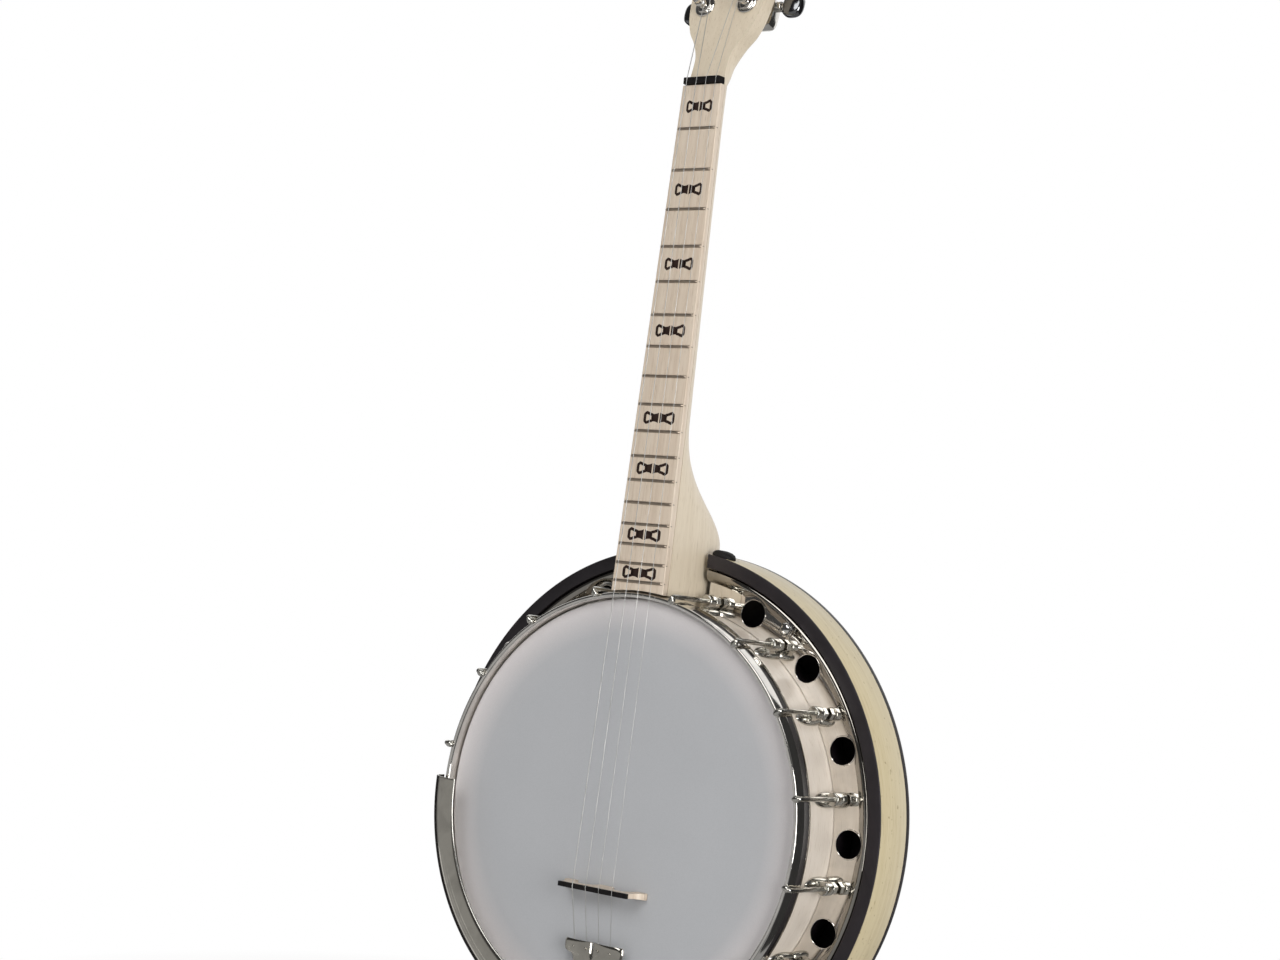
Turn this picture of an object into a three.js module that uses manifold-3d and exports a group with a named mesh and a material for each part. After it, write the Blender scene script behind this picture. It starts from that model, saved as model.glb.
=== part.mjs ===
// Seventeen-fret tenor banjo with a resonator, modelled upright as it hangs from a headstock hanger.
// Millimetres. +Z runs up the neck, the drum head faces -Y, and +X is to the right of someone facing it.
// The pot is designed about its own centre: the drum skin's front is the plane y = 0, and the neck leaves at
// the top. The whole instrument is then moved so that the origin is the hanger seat under the headstock's
// flare.

import * as THREE from 'three';
import { mergeVertices } from 'three/addons/utils/BufferGeometryUtils.js';
import Module from 'manifold-3d';

const wasm = await Module();
wasm.setup();

// ---------------------------------------------------------------- driving dimensions

const GAP = 0.35;                  // air left between touching pieces
const POT_CLEARANCE = 0.45;        // air between the neck or the flange and the pot
const RING_SEGMENTS = 48;          // facets round the pot

// scale and neck
const SCALE_LENGTH = 527;
const FRET_COUNT = 17;
const NUT_Z = 477.2;               // string end of the fingerboard
const BRIDGE_Z = NUT_Z - SCALE_LENGTH;
const BOARD_Y_AT_NUT = 3.75;
const BOARD_SLOPE = 0.025;         // the fingerboard comes forward towards the pot
const BOARD_HALF_AT_NUT = 15.4;
const BOARD_HALF_AT_POT = 20.6;
const BOARD_END_Z = 142.4;
const FRET_HEIGHT = 1.0;
const FRET_WIDTH = 2.2;
const FRET_INSET = 0.8;
const FRET_TANG_DEPTH = 1.5;       // how far a fret is let into the board
const FRET_EDGE_HEIGHT = 0.4;
const HEEL_DEPTH = 74.6;           // from the board down to just in front of the resonator's back
const HEEL_SQUARENESS = 3.4;
const HEEL_ROWS = [130, 160];      // heights of the heel's straight part; the pot cuts off what is below it
const HEEL_CURVE = [[178, HEEL_DEPTH], [200, 72], [212, 21.5], [252, 21]];   // [z, depth] control points
const HEEL_STEPS = 12;
const NECK_SQUARENESS = 2.2;
const NECK_ROWS = [                // [z, depth, squareness] from the heel's end to the nut
  [300, 20, 2.15], [375, 18.6, 2.1], [450, 17.4, 2.1], [NUT_Z, 17.3, NECK_SQUARENESS],
];
const SHELF_DEPTH = 12.8;          // the neck's depth behind the nut
const SHELF_HALF = 15;
const SHELF_SQUARENESS = 1.7;

// headstock
const HEADSTOCK_TILT = THREE.MathUtils.degToRad(13.5);
const HEADSTOCK_ORIGIN = new THREE.Vector3(0, 8.3, 482.2);
const HEADSTOCK_THICKNESS = 14;
const NUT_THICKNESS = 4.7;
const NUT_TOP_Y = 1.9;
const NUT_HALF = 14.8;
const HEADSTOCK_SQUARENESS = 10;
const HEADSTOCK_ROWS = [           // [distance up the face, half width, squareness]
  [3, 13.6, 2.8], [13, 13.5, 4], [19, 14.6, 6], [27, 18.2, 8],
  ...[[36, 24], [50, 28.4], [74, 30.4], [98, 31.4], [116, 31.2], [128, 28.6], [136, 23], [140, 14]]
    .map((row) => [...row, HEADSTOCK_SQUARENESS]),
];

// pot
const HEAD_THICKNESS = 0.6;
const RIM_INNER = 122;
const RIM_OUTER = 136;
const RIM_FRONT_Y = 0.95;
const RIM_BACK_Y = 66;
const COLLAR_OUTER = 137;
const COLLAR_BACK_Y = 9.2;
const COLLAR_ROUNDING = 2;
const COLLAR_INNER_ROUNDING = 1.9;
const RIM_EDGE_SLOPE = 3;          // fall of the bearing edge from the rim's outside to its inside
const HOOP_INNER = 137.3;
const HOOP_OUTER = 141.6;
const HOOP_FRONT_Y = -6.8;
const HOOP_STEP_Y = 3.8;
const HOOP_BACK_Y = 7.6;
const FLESH_HOOP_OUTER = 139.7;
const FLESH_HOOP_BACK_Y = 8.2;
const HOOP_EDGE = 0.6;             // chamfer along the front of the tension hoop
const HOOP_DRAFT = 1.2;            // how far the outer wall leans in towards the front edge
const HOOP_LEAN_Y = 5.4;           // where it starts to lean
const ROD_Y = 38;
const ROD_RADIUS = 4.8;
const ROD_NUT_RADIUS = 8.5;
const ROD_NUT_LENGTH = 7;

// flange
const FLANGE_FRONT_Y = 43.5;
const FLANGE_THICKNESS = 1.3;
const FLANGE_CREASE_RADIUS = 155;
const FLANGE_LIP_RADIUS = 163.6;
const FLANGE_LIP_Y = 37.8;
const FLANGE_BEND_FRONT = [[1.4, 2.9], [4, 4.9]];              // [outwards, forwards] from the crease
const FLANGE_BEND_BACK = [[4.6, 4.9], [2.6, 3.4], [1.4, 0]];
const SOUND_HOLE_COUNT = 16;       // positions; the one under the neck heel is left out
const HOLE_BESIDE_NECK_ANGLE = 23.7;
const SOUND_HOLE_CIRCLE = 148;
const SOUND_HOLE_RADIUS = 9;
const SCREW_HOLE_RADIUS = 2.8;     // for the thumbscrews, in the flange and in the lugs
const CUTTER_FRONT_Y = 20;         // tools that cut the flange and the resonator run past both of them
const CUTTER_BACK_Y = 90;

// resonator
const RESONATOR_OUTER = 173;
const RESONATOR_INNER = 164;
const RESONATOR_FRONT_Y = 37.3;
const BACK_PANEL_FRONT_Y = 71.2;
const BACK_PANEL_EDGE_Y = 74.8;
const BACK_PANEL_REAR_Y = 78.2;
const BACK_PANEL_FLAT_RADIUS = 146;
const HEEL_SLOT_HALF = 23.6;
const THUMBSCREW_ANGLES = [36.5, 126.5, -143.5, -53.5];
const THUMBSCREW_CIRCLE = 158.6;
const EDGE_GUARD_ANGLE = 10.6;
const EDGE_GUARD_HALF_WIDTH = 8;
const EDGE_GUARD_HALF_THICKNESS = 2.2;
const EDGE_GUARD_FRONT_Y = 37.6;
const EDGE_GUARD_BACK_Y = 49.6;
const LUG_FOOT_HALF = 9;           // the lug's foot on the wall's inside
const LUG_FOOT_FRONT_Y = 47;
const LUG_FOOT_BACK_Y = 60;
const LUG_FOOT_THICKNESS = 2.7;
const LUG_EAR_HALF = 6;            // and its ear, which the thumbscrew goes into
const LUG_EAR_FRONT_Y = 50;
const LUG_EAR_BACK_Y = 56;

// hooks and shoes
const HOOK_ANGLES = [12.6, 35.4, 57.2, 79.2, 101.2, 123.6, 146, 168.6]; // and the same on the left
const HOOK_CIRCLE = 143.9;
const HOOK_WIRE_RADIUS = 1.6;
const HOOK_TOP_Y = -8.8;
const HOOK_END_Y = 42.8;
const HOOK_TIP_RADIUS = 138.6;
const HOOK_BEND = 3.2;
const NUT_FRONT_Y = 36.2;
const NUT_BACK_Y = 41.4;
const NUT_CORNER_RADIUS = 4.2;
const SHOE_FRONT_Y = 20;
const SHOE_BACK_Y = 43.1;
const SHOE_DEPTH = 6.4;            // how far the shoe's foot stands off the rim
const SHOE_LUG_RADIUS = 4.3;
const SHOE_LUG_FRONT_Y = 29.5;
const SHOE_LUG_BACK_Y = 36;

// strings
const STRING_RADIUS = 0.4;
const STRINGS_AT_NUT = [-11.55, -3.85, 3.85, 11.55];
const STRINGS_AT_BRIDGE = [-15.75, -5.25, 5.25, 15.75];
const STRINGS_AT_TAIL = [-14.4, -4.8, 4.8, 14.4];
const BRIDGE_HEIGHT = 16.6;
const BRIDGE_FOOT_HALF = 32;
const BRIDGE_CAP_HALF = 27.4;
const BRIDGE_CAP_THICKNESS = 2.2;
const BRIDGE_CAP_DEPTH = 2.6;
const BRIDGE_DEPTH = 4.4;
const BRIDGE_FOOT_HEIGHT = 4;
const BRIDGE_ARCH_MIDDLE = 14.5;   // from the centre foot's middle to each arch's middle
const BRIDGE_ARCH_HEIGHT = 9;

// tailpiece
const TAIL_BAR_TOP_Z = -83.5;
const TAIL_BAR_HEIGHT = 8.5;
const TAIL_BAR_HALF = 23.2;
const TAIL_FRONT_Y = -10.2;
const TAIL_THICKNESS = 2.2;
const TAIL_HINGE_Z = -146.2;
const TAIL_HINGE_Y = -9.2;
const TAIL_SCREW_Z = -138.6;       // its tip rests on the tension hoop
const TAIL_BARREL_HALF = 9;
const TAIL_BARREL_RADIUS = 3;
const TAIL_PIVOT_RADIUS = 1.2;
const TAIL_EAR_OUTER = 12;
const TAIL_EAR_INNER = 9.6;
const TAIL_STRAP_HALF = 8;

// armrest
const ARMREST_START = -88.2;
const ARMREST_END = -152;
const ARMREST_THICKNESS = 1.1;
const ARMREST_CENTRE = new THREE.Vector2(130, -3.2);   // [radius, y] of the section's ellipse
const ARMREST_HALF_WIDTH = 18;
const ARMREST_HALF_HEIGHT = 12.4;
const CLAMP_ANGLES = [-95, -140];
const CLAMP_HALF = 6;
const CLAMP_OUTER = 147.6;
const CLAMP_BACK_Y = 24;

// tuners, in the headstock's own frame
const POST_X = 16.8;
const POST_HEIGHTS = [55, 97];
const POST_RADIUS = 3;
const WINDING_RADIUS = 3.9;
const WORM_OFFSET = 7.2;
const POST_HOLE_RADIUS = 5.1;
const BUSHING_RADIUS = 4.75;
const GEAR_RADIUS = 4.5;
const WORM_RADIUS = 2.3;
const BOSS_RADIUS = 3.6;
const KNOB_X = 23;                 // from the post's axis to the middle of the button
const HOUSING_MIDDLE = [2.2, 1.6];
const HOUSING_HALF = [9.2, 10.8];
const HOUSING_CORNER = 3;
const HOUSING_DEPTH = 10.6;
const GEAR_FRONT = 3.2;            // behind the headstock's back
const GEAR_BACK = 7.4;

// hanger seat, in the pot's frame
const HANGER_SEAT = new THREE.Vector3(0, 15.6, 500);

// ---------------------------------------------------------------- materials

function finish(color, roughness, metalness) {
  return new THREE.MeshStandardMaterial({ color, roughness, metalness });
}

const MAPLE = finish(0xd3c3a6, 0.45, 0);
const MAPLE_SIDE = finish(0xcdb98b, 0.4, 0);
const FROSTED_FILM = finish(0xc9c9cb, 0.55, 0);
const NICKEL = finish(0xd6d4cf, 0.15, 1);
const CHROME = finish(0xc4c6c8, 0.12, 1);
const DARK_CHROME = finish(0x55585a, 0.2, 1);
const BLACK_COMPOSITE = finish(0x141214, 0.5, 0);
const BLACK_LACQUER = finish(0x242125, 0.35, 0);
const STEEL = finish(0xb9bbbd, 0.25, 1);

// ---------------------------------------------------------------- geometry helpers

const instrument = new THREE.Group();
instrument.position.copy(HANGER_SEAT).negate();

function addPiece(name, geometry, material, parent = instrument) {
  const mesh = new THREE.Mesh(geometry, material);
  mesh.name = name;
  parent.add(mesh);
  return mesh;
}

function signedVolume(positions, index) {
  const [a, b, c] = [new THREE.Vector3(), new THREE.Vector3(), new THREE.Vector3()];
  let volume = 0;
  for (let i = 0; i < index.length; i += 3) {
    a.fromArray(positions, 3 * index[i]);
    b.fromArray(positions, 3 * index[i + 1]);
    c.fromArray(positions, 3 * index[i + 2]);
    volume += a.dot(b.cross(c)) / 6;
  }
  return volume;
}

function indexedGeometry(positions, index) {
  const geometry = new THREE.BufferGeometry();
  geometry.setAttribute('position', new THREE.Float32BufferAttribute(positions, 3));
  geometry.setIndex(index);
  return geometry;
}

// Shares vertices, drops flat triangles and turns every face outwards.
function closedSolid(source) {
  const bare = source.index ? source.clone() : mergeVertices(source);
  for (const name of Object.keys(bare.attributes)) {
    if (name !== 'position') bare.deleteAttribute(name);
  }
  bare.clearGroups();
  const merged = mergeVertices(bare, 1e-4);
  const positions = merged.attributes.position.array;
  const kept = [];
  for (let i = 0; i < merged.index.count; i += 3) {
    const [a, b, c] = [0, 1, 2].map((k) => merged.index.getX(i + k));
    if (a !== b && b !== c && c !== a) kept.push(a, b, c);
  }
  if (signedVolume(positions, kept) < 0) kept.reverse();
  return indexedGeometry(positions, kept);
}

function toManifold(geometry) {
  const solid = closedSolid(geometry);
  return new wasm.Manifold(new wasm.Mesh({
    numProp: 3,
    vertProperties: new Float32Array(solid.attributes.position.array),
    triVerts: new Uint32Array(solid.index.array),
  }));
}

function fromManifold(manifold) {
  const { vertProperties, triVerts } = manifold.getMesh();
  return indexedGeometry(vertProperties, Array.from(triVerts));
}

function join(...geometries) {
  return fromManifold(geometries.map(toManifold).reduce((whole, piece) => whole.add(piece)));
}

function cut(geometry, ...tools) {
  const rest = tools.map(toManifold).reduce((solid, tool) => solid.subtract(tool), toManifold(geometry));
  return fromManifold(rest);
}

// A solid skinned over rings of points that all have the same count.
// The two ends are closed by the triangles of capProfile, or by a fan where the rings are convex.
function skinned(rings, capProfile = null) {
  const count = rings[0].length;
  const positions = rings.flat().flatMap((p) => [p.x, p.y, p.z]);
  const index = [];
  for (let r = 0; r + 1 < rings.length; r += 1) {
    for (let i = 0; i < count; i += 1) {
      const [a, b] = [r * count + i, r * count + ((i + 1) % count)];
      index.push(a, b, a + count, b, b + count, a + count);
    }
  }
  const fan = Array.from({ length: count - 2 }, (_, i) => [0, i + 1, i + 2]);
  const cap = capProfile ? THREE.ShapeUtils.triangulateShape(capProfile, []) : fan;
  const last = (rings.length - 1) * count;
  for (const [a, b, c] of cap) {
    const face = capProfile && THREE.ShapeUtils.isClockWise(capProfile) ? [a, c, b] : [a, b, c];
    index.push(face[0], face[2], face[1]);
    index.push(last + face[0], last + face[1], last + face[2]);
  }
  return closedSolid(indexedGeometry(positions, index));
}

// A round bar along a list of points, with mitred corners.
function bar(points, radius, sides = 8) {
  const rings = points.map((point, i) => {
    const before = points[Math.max(i - 1, 0)];
    const after = points[Math.min(i + 1, points.length - 1)];
    const tangent = after.clone().sub(before).normalize();
    const sideways = Math.abs(tangent.x) > 0.9 ? new THREE.Vector3(0, 0, 1) : new THREE.Vector3(1, 0, 0);
    sideways.addScaledVector(tangent, -sideways.dot(tangent)).normalize();
    const upward = tangent.clone().cross(sideways);
    return Array.from({ length: sides }, (_, k) => {
      const angle = (2 * Math.PI * (k + 0.5)) / sides;
      return point.clone()
        .addScaledVector(sideways, radius * Math.cos(angle))
        .addScaledVector(upward, radius * Math.sin(angle));
    });
  });
  return skinned(rings);
}

// A profile of [radius, y] pairs turned about the pot's axis, or about any line along +Y once it is moved.
function turned(profile, segments = RING_SEGMENTS) {
  const points = profile.map(([radius, y]) => new THREE.Vector2(radius, y));
  return closedSolid(new THREE.LatheGeometry(points, segments));
}

function ring(inner, outer, front, back, segments = RING_SEGMENTS) {
  return turned([[inner, front], [outer, front], [outer, back], [inner, back], [inner, front]], segments);
}

// A solid pin along Y from front to back.
function pin(radius, front, back, segments = 12, x = 0, z = 0) {
  return turned([[0, front], [radius, front], [radius, back], [0, back]], segments).translate(x, 0, z);
}

function block(xMin, xMax, yMin, yMax, zMin, zMax) {
  const box = new THREE.BoxGeometry(xMax - xMin, yMax - yMin, zMax - zMin);
  return box.translate((xMin + xMax) / 2, (yMin + yMax) / 2, (zMin + zMax) / 2);
}

// An outline drawn in the x-z plane and given thickness from yFront to yBack.
function plate(outline, yFront, yBack, curveSegments = 6) {
  const options = { depth: yBack - yFront, bevelEnabled: false, curveSegments };
  const solid = new THREE.ExtrudeGeometry(outline, options);
  return solid.rotateX(Math.PI / 2).translate(0, yBack, 0);
}

function ellipseOutline(halfX, halfZ, centreX = 0, centreZ = 0) {
  return new THREE.Shape().absellipse(centreX, centreZ, halfX, halfZ, 0, 2 * Math.PI);
}

function roundedRectangle(halfX, halfZ, corner, centreX = 0, centreZ = 0) {
  const outline = new THREE.Shape();
  const corners = [[1, 1, 0], [-1, 1, 0.5], [-1, -1, 1], [1, -1, 1.5]];
  for (const [sx, sz, start] of corners) {
    const x = centreX + sx * (halfX - corner);
    const z = centreZ + sz * (halfZ - corner);
    outline.absarc(x, z, corner, start * Math.PI, (start + 0.5) * Math.PI);
  }
  return outline;
}

// Places a copy of a piece that was drawn at the top of the pot at another angle round it.
function aroundPot(geometry, degrees) {
  return geometry.clone().rotateY(THREE.MathUtils.degToRad(degrees));
}

// ---------------------------------------------------------------- neck

function boardY(z) {
  return BOARD_Y_AT_NUT - BOARD_SLOPE * (NUT_Z - z);
}

function boardHalf(z) {
  const share = (NUT_Z - z) / (NUT_Z - BOARD_END_Z);
  return THREE.MathUtils.lerp(BOARD_HALF_AT_NUT, BOARD_HALF_AT_POT, share);
}

function fretZ(number) {
  return NUT_Z - SCALE_LENGTH * (1 - 2 ** (-number / 12));
}

// One cross-section: flat in front, and round or squarish behind as squareness grows.
function neckSection(front, tilt, half, depth, squareness) {
  const steps = 12;
  return Array.from({ length: steps + 1 }, (_, i) => {
    const angle = (Math.PI * i) / steps;
    const power = 2 / squareness;
    const x = half * Math.sign(Math.cos(angle)) * Math.abs(Math.cos(angle)) ** power;
    const back = depth * Math.abs(Math.sin(angle)) ** power;
    return new THREE.Vector3(x, front.y + back * Math.cos(tilt), front.z - back * Math.sin(tilt));
  });
}

function neckSections() {
  const sections = [];
  const neckPart = (z, depth, squareness) => {
    sections.push(neckSection(new THREE.Vector3(0, boardY(z), z), 0, boardHalf(z), depth, squareness));
  };
  // the heel sweeps down from the neck's back to just in front of the resonator's back panel
  HEEL_ROWS.forEach((z) => neckPart(z, HEEL_DEPTH, HEEL_SQUARENESS));
  const heelCurve = new THREE.CubicBezierCurve(...HEEL_CURVE.map((point) => new THREE.Vector2(...point)));
  heelCurve.getPoints(HEEL_STEPS).forEach((point, i) => {
    neckPart(point.x, point.y, THREE.MathUtils.lerp(HEEL_SQUARENESS, NECK_SQUARENESS, i / HEEL_STEPS));
  });
  NECK_ROWS.forEach((row) => neckPart(...row));
  // the shelf behind the nut, then the headstock
  const shelf = new THREE.Vector3(0, HEADSTOCK_ORIGIN.y, NUT_Z + 0.05);
  sections.push(neckSection(shelf, 0, SHELF_HALF, SHELF_DEPTH, SHELF_SQUARENESS));
  for (const [along, half, squareness] of HEADSTOCK_ROWS) {
    const front = HEADSTOCK_ORIGIN.clone();
    front.y += along * Math.sin(HEADSTOCK_TILT);
    front.z += along * Math.cos(HEADSTOCK_TILT);
    sections.push(neckSection(front, HEADSTOCK_TILT, half, HEADSTOCK_THICKNESS, squareness));
  }
  return sections;
}

function fret(number) {
  const z = fretZ(number);
  const half = boardHalf(z) - FRET_INSET;
  const y = boardY(z);
  const crown = FRET_WIDTH / 4;
  const side = FRET_WIDTH / 2;
  const profile = [
    [-side, FRET_TANG_DEPTH], [side, FRET_TANG_DEPTH], [side, -FRET_EDGE_HEIGHT],
    [crown, -FRET_HEIGHT], [-crown, -FRET_HEIGHT], [-side, -FRET_EDGE_HEIGHT],
  ];
  return skinned([-half, half].map((x) => profile.map(([dz, dy]) => new THREE.Vector3(x, y + dy, z + dz))));
}

function buildNeck() {
  const potSpace = [
    pin(HOOP_OUTER + POT_CLEARANCE, -30, COLLAR_BACK_Y + POT_CLEARANCE, RING_SEGMENTS),
    pin(RIM_OUTER + POT_CLEARANCE, COLLAR_BACK_Y, CUTTER_BACK_Y, RING_SEGMENTS),
  ];
  const frets = Array.from({ length: FRET_COUNT }, (_, i) => fret(i + 1));
  const postHoles = headstockPosts().map(({ x, up }) => inHeadstock(
    pin(POST_HOLE_RADIUS, -4, HEADSTOCK_THICKNESS + 4, 12, x, up)));
  addPiece('neck', cut(join(skinned(neckSections()), ...frets), ...potSpace, ...postHoles), MAPLE);

  const nutBack = HEADSTOCK_ORIGIN.y - GAP;
  const nutBottom = NUT_Z + 0.2;
  const nut = block(-NUT_HALF, NUT_HALF, NUT_TOP_Y, nutBack, nutBottom + GAP, nutBottom + NUT_THICKNESS);
  addPiece('nut', nut, BLACK_COMPOSITE);
}

// ---------------------------------------------------------------- headstock frame

// Moves a piece drawn on the headstock's face into the pot's frame: x across, y into the wood, z up the face.
function inHeadstock(geometry) {
  const { x, y, z } = HEADSTOCK_ORIGIN;
  return geometry.rotateX(-HEADSTOCK_TILT).translate(x, y, z);
}

function headstockPoint(x, into, up) {
  return new THREE.Vector3(x, into, up)
    .applyAxisAngle(new THREE.Vector3(1, 0, 0), -HEADSTOCK_TILT)
    .add(HEADSTOCK_ORIGIN);
}

// The four posts in string order: outer strings go to the lower pair, inner strings to the upper pair.
function headstockPosts() {
  const [lower, upper] = POST_HEIGHTS;
  return [
    { x: -POST_X, up: lower, side: -1 },
    { x: -POST_X, up: upper, side: -1 },
    { x: POST_X, up: upper, side: 1 },
    { x: POST_X, up: lower, side: 1 },
  ];
}

// ---------------------------------------------------------------- pot

function buildPot() {
  addPiece('rim', turned([
    [RIM_INNER, RIM_FRONT_Y + RIM_EDGE_SLOPE], [RIM_OUTER - 2, RIM_FRONT_Y], [RIM_OUTER, RIM_FRONT_Y + 1],
    [RIM_OUTER, RIM_BACK_Y], [RIM_INNER, RIM_BACK_Y], [RIM_INNER, RIM_FRONT_Y + RIM_EDGE_SLOPE],
  ]), MAPLE);

  const collarInner = RIM_OUTER + GAP;
  const corner = 0.3 * COLLAR_ROUNDING;
  addPiece('head', turned([
    [0, 0], [COLLAR_OUTER - COLLAR_ROUNDING, 0], [COLLAR_OUTER - corner, corner],
    [COLLAR_OUTER, COLLAR_ROUNDING], [COLLAR_OUTER, COLLAR_BACK_Y], [collarInner, COLLAR_BACK_Y],
    [collarInner, COLLAR_INNER_ROUNDING],
    [COLLAR_OUTER - COLLAR_ROUNDING - HEAD_THICKNESS, HEAD_THICKNESS],
    [0, HEAD_THICKNESS],
  ]), FROSTED_FILM);

  const fleshHoop = ring(COLLAR_OUTER + GAP, FLESH_HOOP_OUTER, HOOP_STEP_Y + GAP, FLESH_HOOP_BACK_Y);
  addPiece('flesh_hoop', fleshHoop, NICKEL);

  addPiece('tension_hoop', turned([
    [HOOP_INNER, HOOP_FRONT_Y + HOOP_EDGE], [HOOP_INNER + HOOP_EDGE, HOOP_FRONT_Y],
    [HOOP_OUTER - HOOP_DRAFT - HOOP_EDGE, HOOP_FRONT_Y], [HOOP_OUTER - HOOP_DRAFT, HOOP_FRONT_Y + HOOP_EDGE],
    [HOOP_OUTER, HOOP_LEAN_Y], [HOOP_OUTER, HOOP_BACK_Y], [FLESH_HOOP_OUTER + GAP, HOOP_BACK_Y],
    [FLESH_HOOP_OUTER + GAP, HOOP_STEP_Y], [HOOP_INNER, HOOP_STEP_Y], [HOOP_INNER, HOOP_FRONT_Y + HOOP_EDGE],
  ]), NICKEL);

  const rodEnd = RIM_INNER - 2 * GAP;
  const rodPoint = (z) => new THREE.Vector3(0, ROD_Y, z);
  const rod = bar([-rodEnd, rodEnd].map(rodPoint), ROD_RADIUS, 12);
  const rodNuts = [-1, 1].map((end) => bar(
    [end * (rodEnd - ROD_NUT_LENGTH), end * rodEnd].map(rodPoint), ROD_NUT_RADIUS, 6));
  addPiece('coordinator_rod', join(rod, ...rodNuts), STEEL);
}

// ---------------------------------------------------------------- flange

function buildFlange() {
  const inner = RIM_OUTER + POT_CLEARANCE;
  const back = FLANGE_FRONT_Y + FLANGE_THICKNESS;
  const crease = FLANGE_CREASE_RADIUS;
  const lip = turned([
    [inner, FLANGE_FRONT_Y], [crease, FLANGE_FRONT_Y],
    ...FLANGE_BEND_FRONT.map(([out, rise]) => [crease + out, FLANGE_FRONT_Y - rise]),
    [FLANGE_LIP_RADIUS, FLANGE_LIP_Y], [FLANGE_LIP_RADIUS, FLANGE_LIP_Y + FLANGE_THICKNESS],
    ...FLANGE_BEND_BACK.map(([out, rise]) => [crease + out, back - rise]),
    [inner, back], [inner, FLANGE_FRONT_Y],
  ]);
  const holes = [];
  const hole = pin(SOUND_HOLE_RADIUS, CUTTER_FRONT_Y, CUTTER_BACK_Y, 10, 0, SOUND_HOLE_CIRCLE);
  for (let k = 2; k < SOUND_HOLE_COUNT - 1; k += 1) {
    holes.push(aroundPot(hole, (360 * k) / SOUND_HOLE_COUNT));
  }
  holes.push(aroundPot(hole, HOLE_BESIDE_NECK_ANGLE), aroundPot(hole, -HOLE_BESIDE_NECK_ANGLE));
  const screwHole = pin(SCREW_HOLE_RADIUS, CUTTER_FRONT_Y, CUTTER_BACK_Y, 8, 0, THUMBSCREW_CIRCLE);
  const screwHoles = THUMBSCREW_ANGLES.map((angle) => aroundPot(screwHole, angle));
  addPiece('flange', cut(lip, heelSlotCutter(), ...holes, ...screwHoles), NICKEL);
}

function heelSlotCutter() {
  return block(-HEEL_SLOT_HALF, HEEL_SLOT_HALF, CUTTER_FRONT_Y, CUTTER_BACK_Y, 100, 190);
}

// ---------------------------------------------------------------- resonator

function buildResonator() {
  const wallBack = BACK_PANEL_FRONT_Y - GAP;
  const wall = ring(RESONATOR_INNER, RESONATOR_OUTER, RESONATOR_FRONT_Y, wallBack);
  addPiece('resonator_wall', cut(wall, heelSlotCutter()), MAPLE_SIDE);

  addPiece('resonator_back', turned([
    [0, BACK_PANEL_FRONT_Y], [RESONATOR_OUTER - 0.4, BACK_PANEL_FRONT_Y],
    [RESONATOR_OUTER, BACK_PANEL_EDGE_Y - 1], [RESONATOR_OUTER - 1.2, BACK_PANEL_EDGE_Y + 0.4],
    [RESONATOR_OUTER - 8, BACK_PANEL_REAR_Y - 1.2], [BACK_PANEL_FLAT_RADIUS, BACK_PANEL_REAR_Y],
    [0, BACK_PANEL_REAR_Y],
  ]), MAPLE_SIDE);

  THUMBSCREW_ANGLES.forEach((angle, i) => {
    const footTop = RESONATOR_INNER - 0.9;       // clear of the wall's facets
    const foot = block(
      -LUG_FOOT_HALF, LUG_FOOT_HALF, LUG_FOOT_FRONT_Y, LUG_FOOT_BACK_Y,
      footTop - LUG_FOOT_THICKNESS, footTop,
    );
    const ear = block(
      -LUG_EAR_HALF, LUG_EAR_HALF, LUG_EAR_FRONT_Y, LUG_EAR_BACK_Y,
      THUMBSCREW_CIRCLE - LUG_EAR_HALF, footTop - LUG_FOOT_THICKNESS / 2,
    );
    const tappedHole = pin(SCREW_HOLE_RADIUS, CUTTER_FRONT_Y, CUTTER_BACK_Y, 8, 0, THUMBSCREW_CIRCLE);
    addPiece(`resonator_lug_${i + 1}`, aroundPot(cut(join(foot, ear), tappedHole), angle), STEEL);

    // a domed knob, a neck that stops above the flange's lip, and the threaded shaft
    const thumbscrew = turned([
      [0, 27.6], [2.6, 27.6], [4.6, 28.6], [4.6, 33.2], [3, 34.2], [3, 36], [2, 36], [2, 62], [0, 62],
    ], 12);
    thumbscrew.translate(0, 0, THUMBSCREW_CIRCLE);
    addPiece(`thumbscrew_${i + 1}`, aroundPot(thumbscrew, angle), NICKEL);
  });

  // padded caps on the wall's outside, one each side of the heel slot
  [1, -1].forEach((side, i) => {
    const outline = roundedRectangle(EDGE_GUARD_HALF_WIDTH, EDGE_GUARD_HALF_THICKNESS, 1.6);
    const cap = plate(outline, EDGE_GUARD_FRONT_Y, EDGE_GUARD_BACK_Y);
    cap.translate(0, 0, RESONATOR_OUTER + GAP + EDGE_GUARD_HALF_THICKNESS + 0.2);
    addPiece(`edge_guard_${i + 1}`, aroundPot(cap, side * EDGE_GUARD_ANGLE), BLACK_LACQUER);
  });
}

// ---------------------------------------------------------------- hooks with their shoes and nuts

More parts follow.
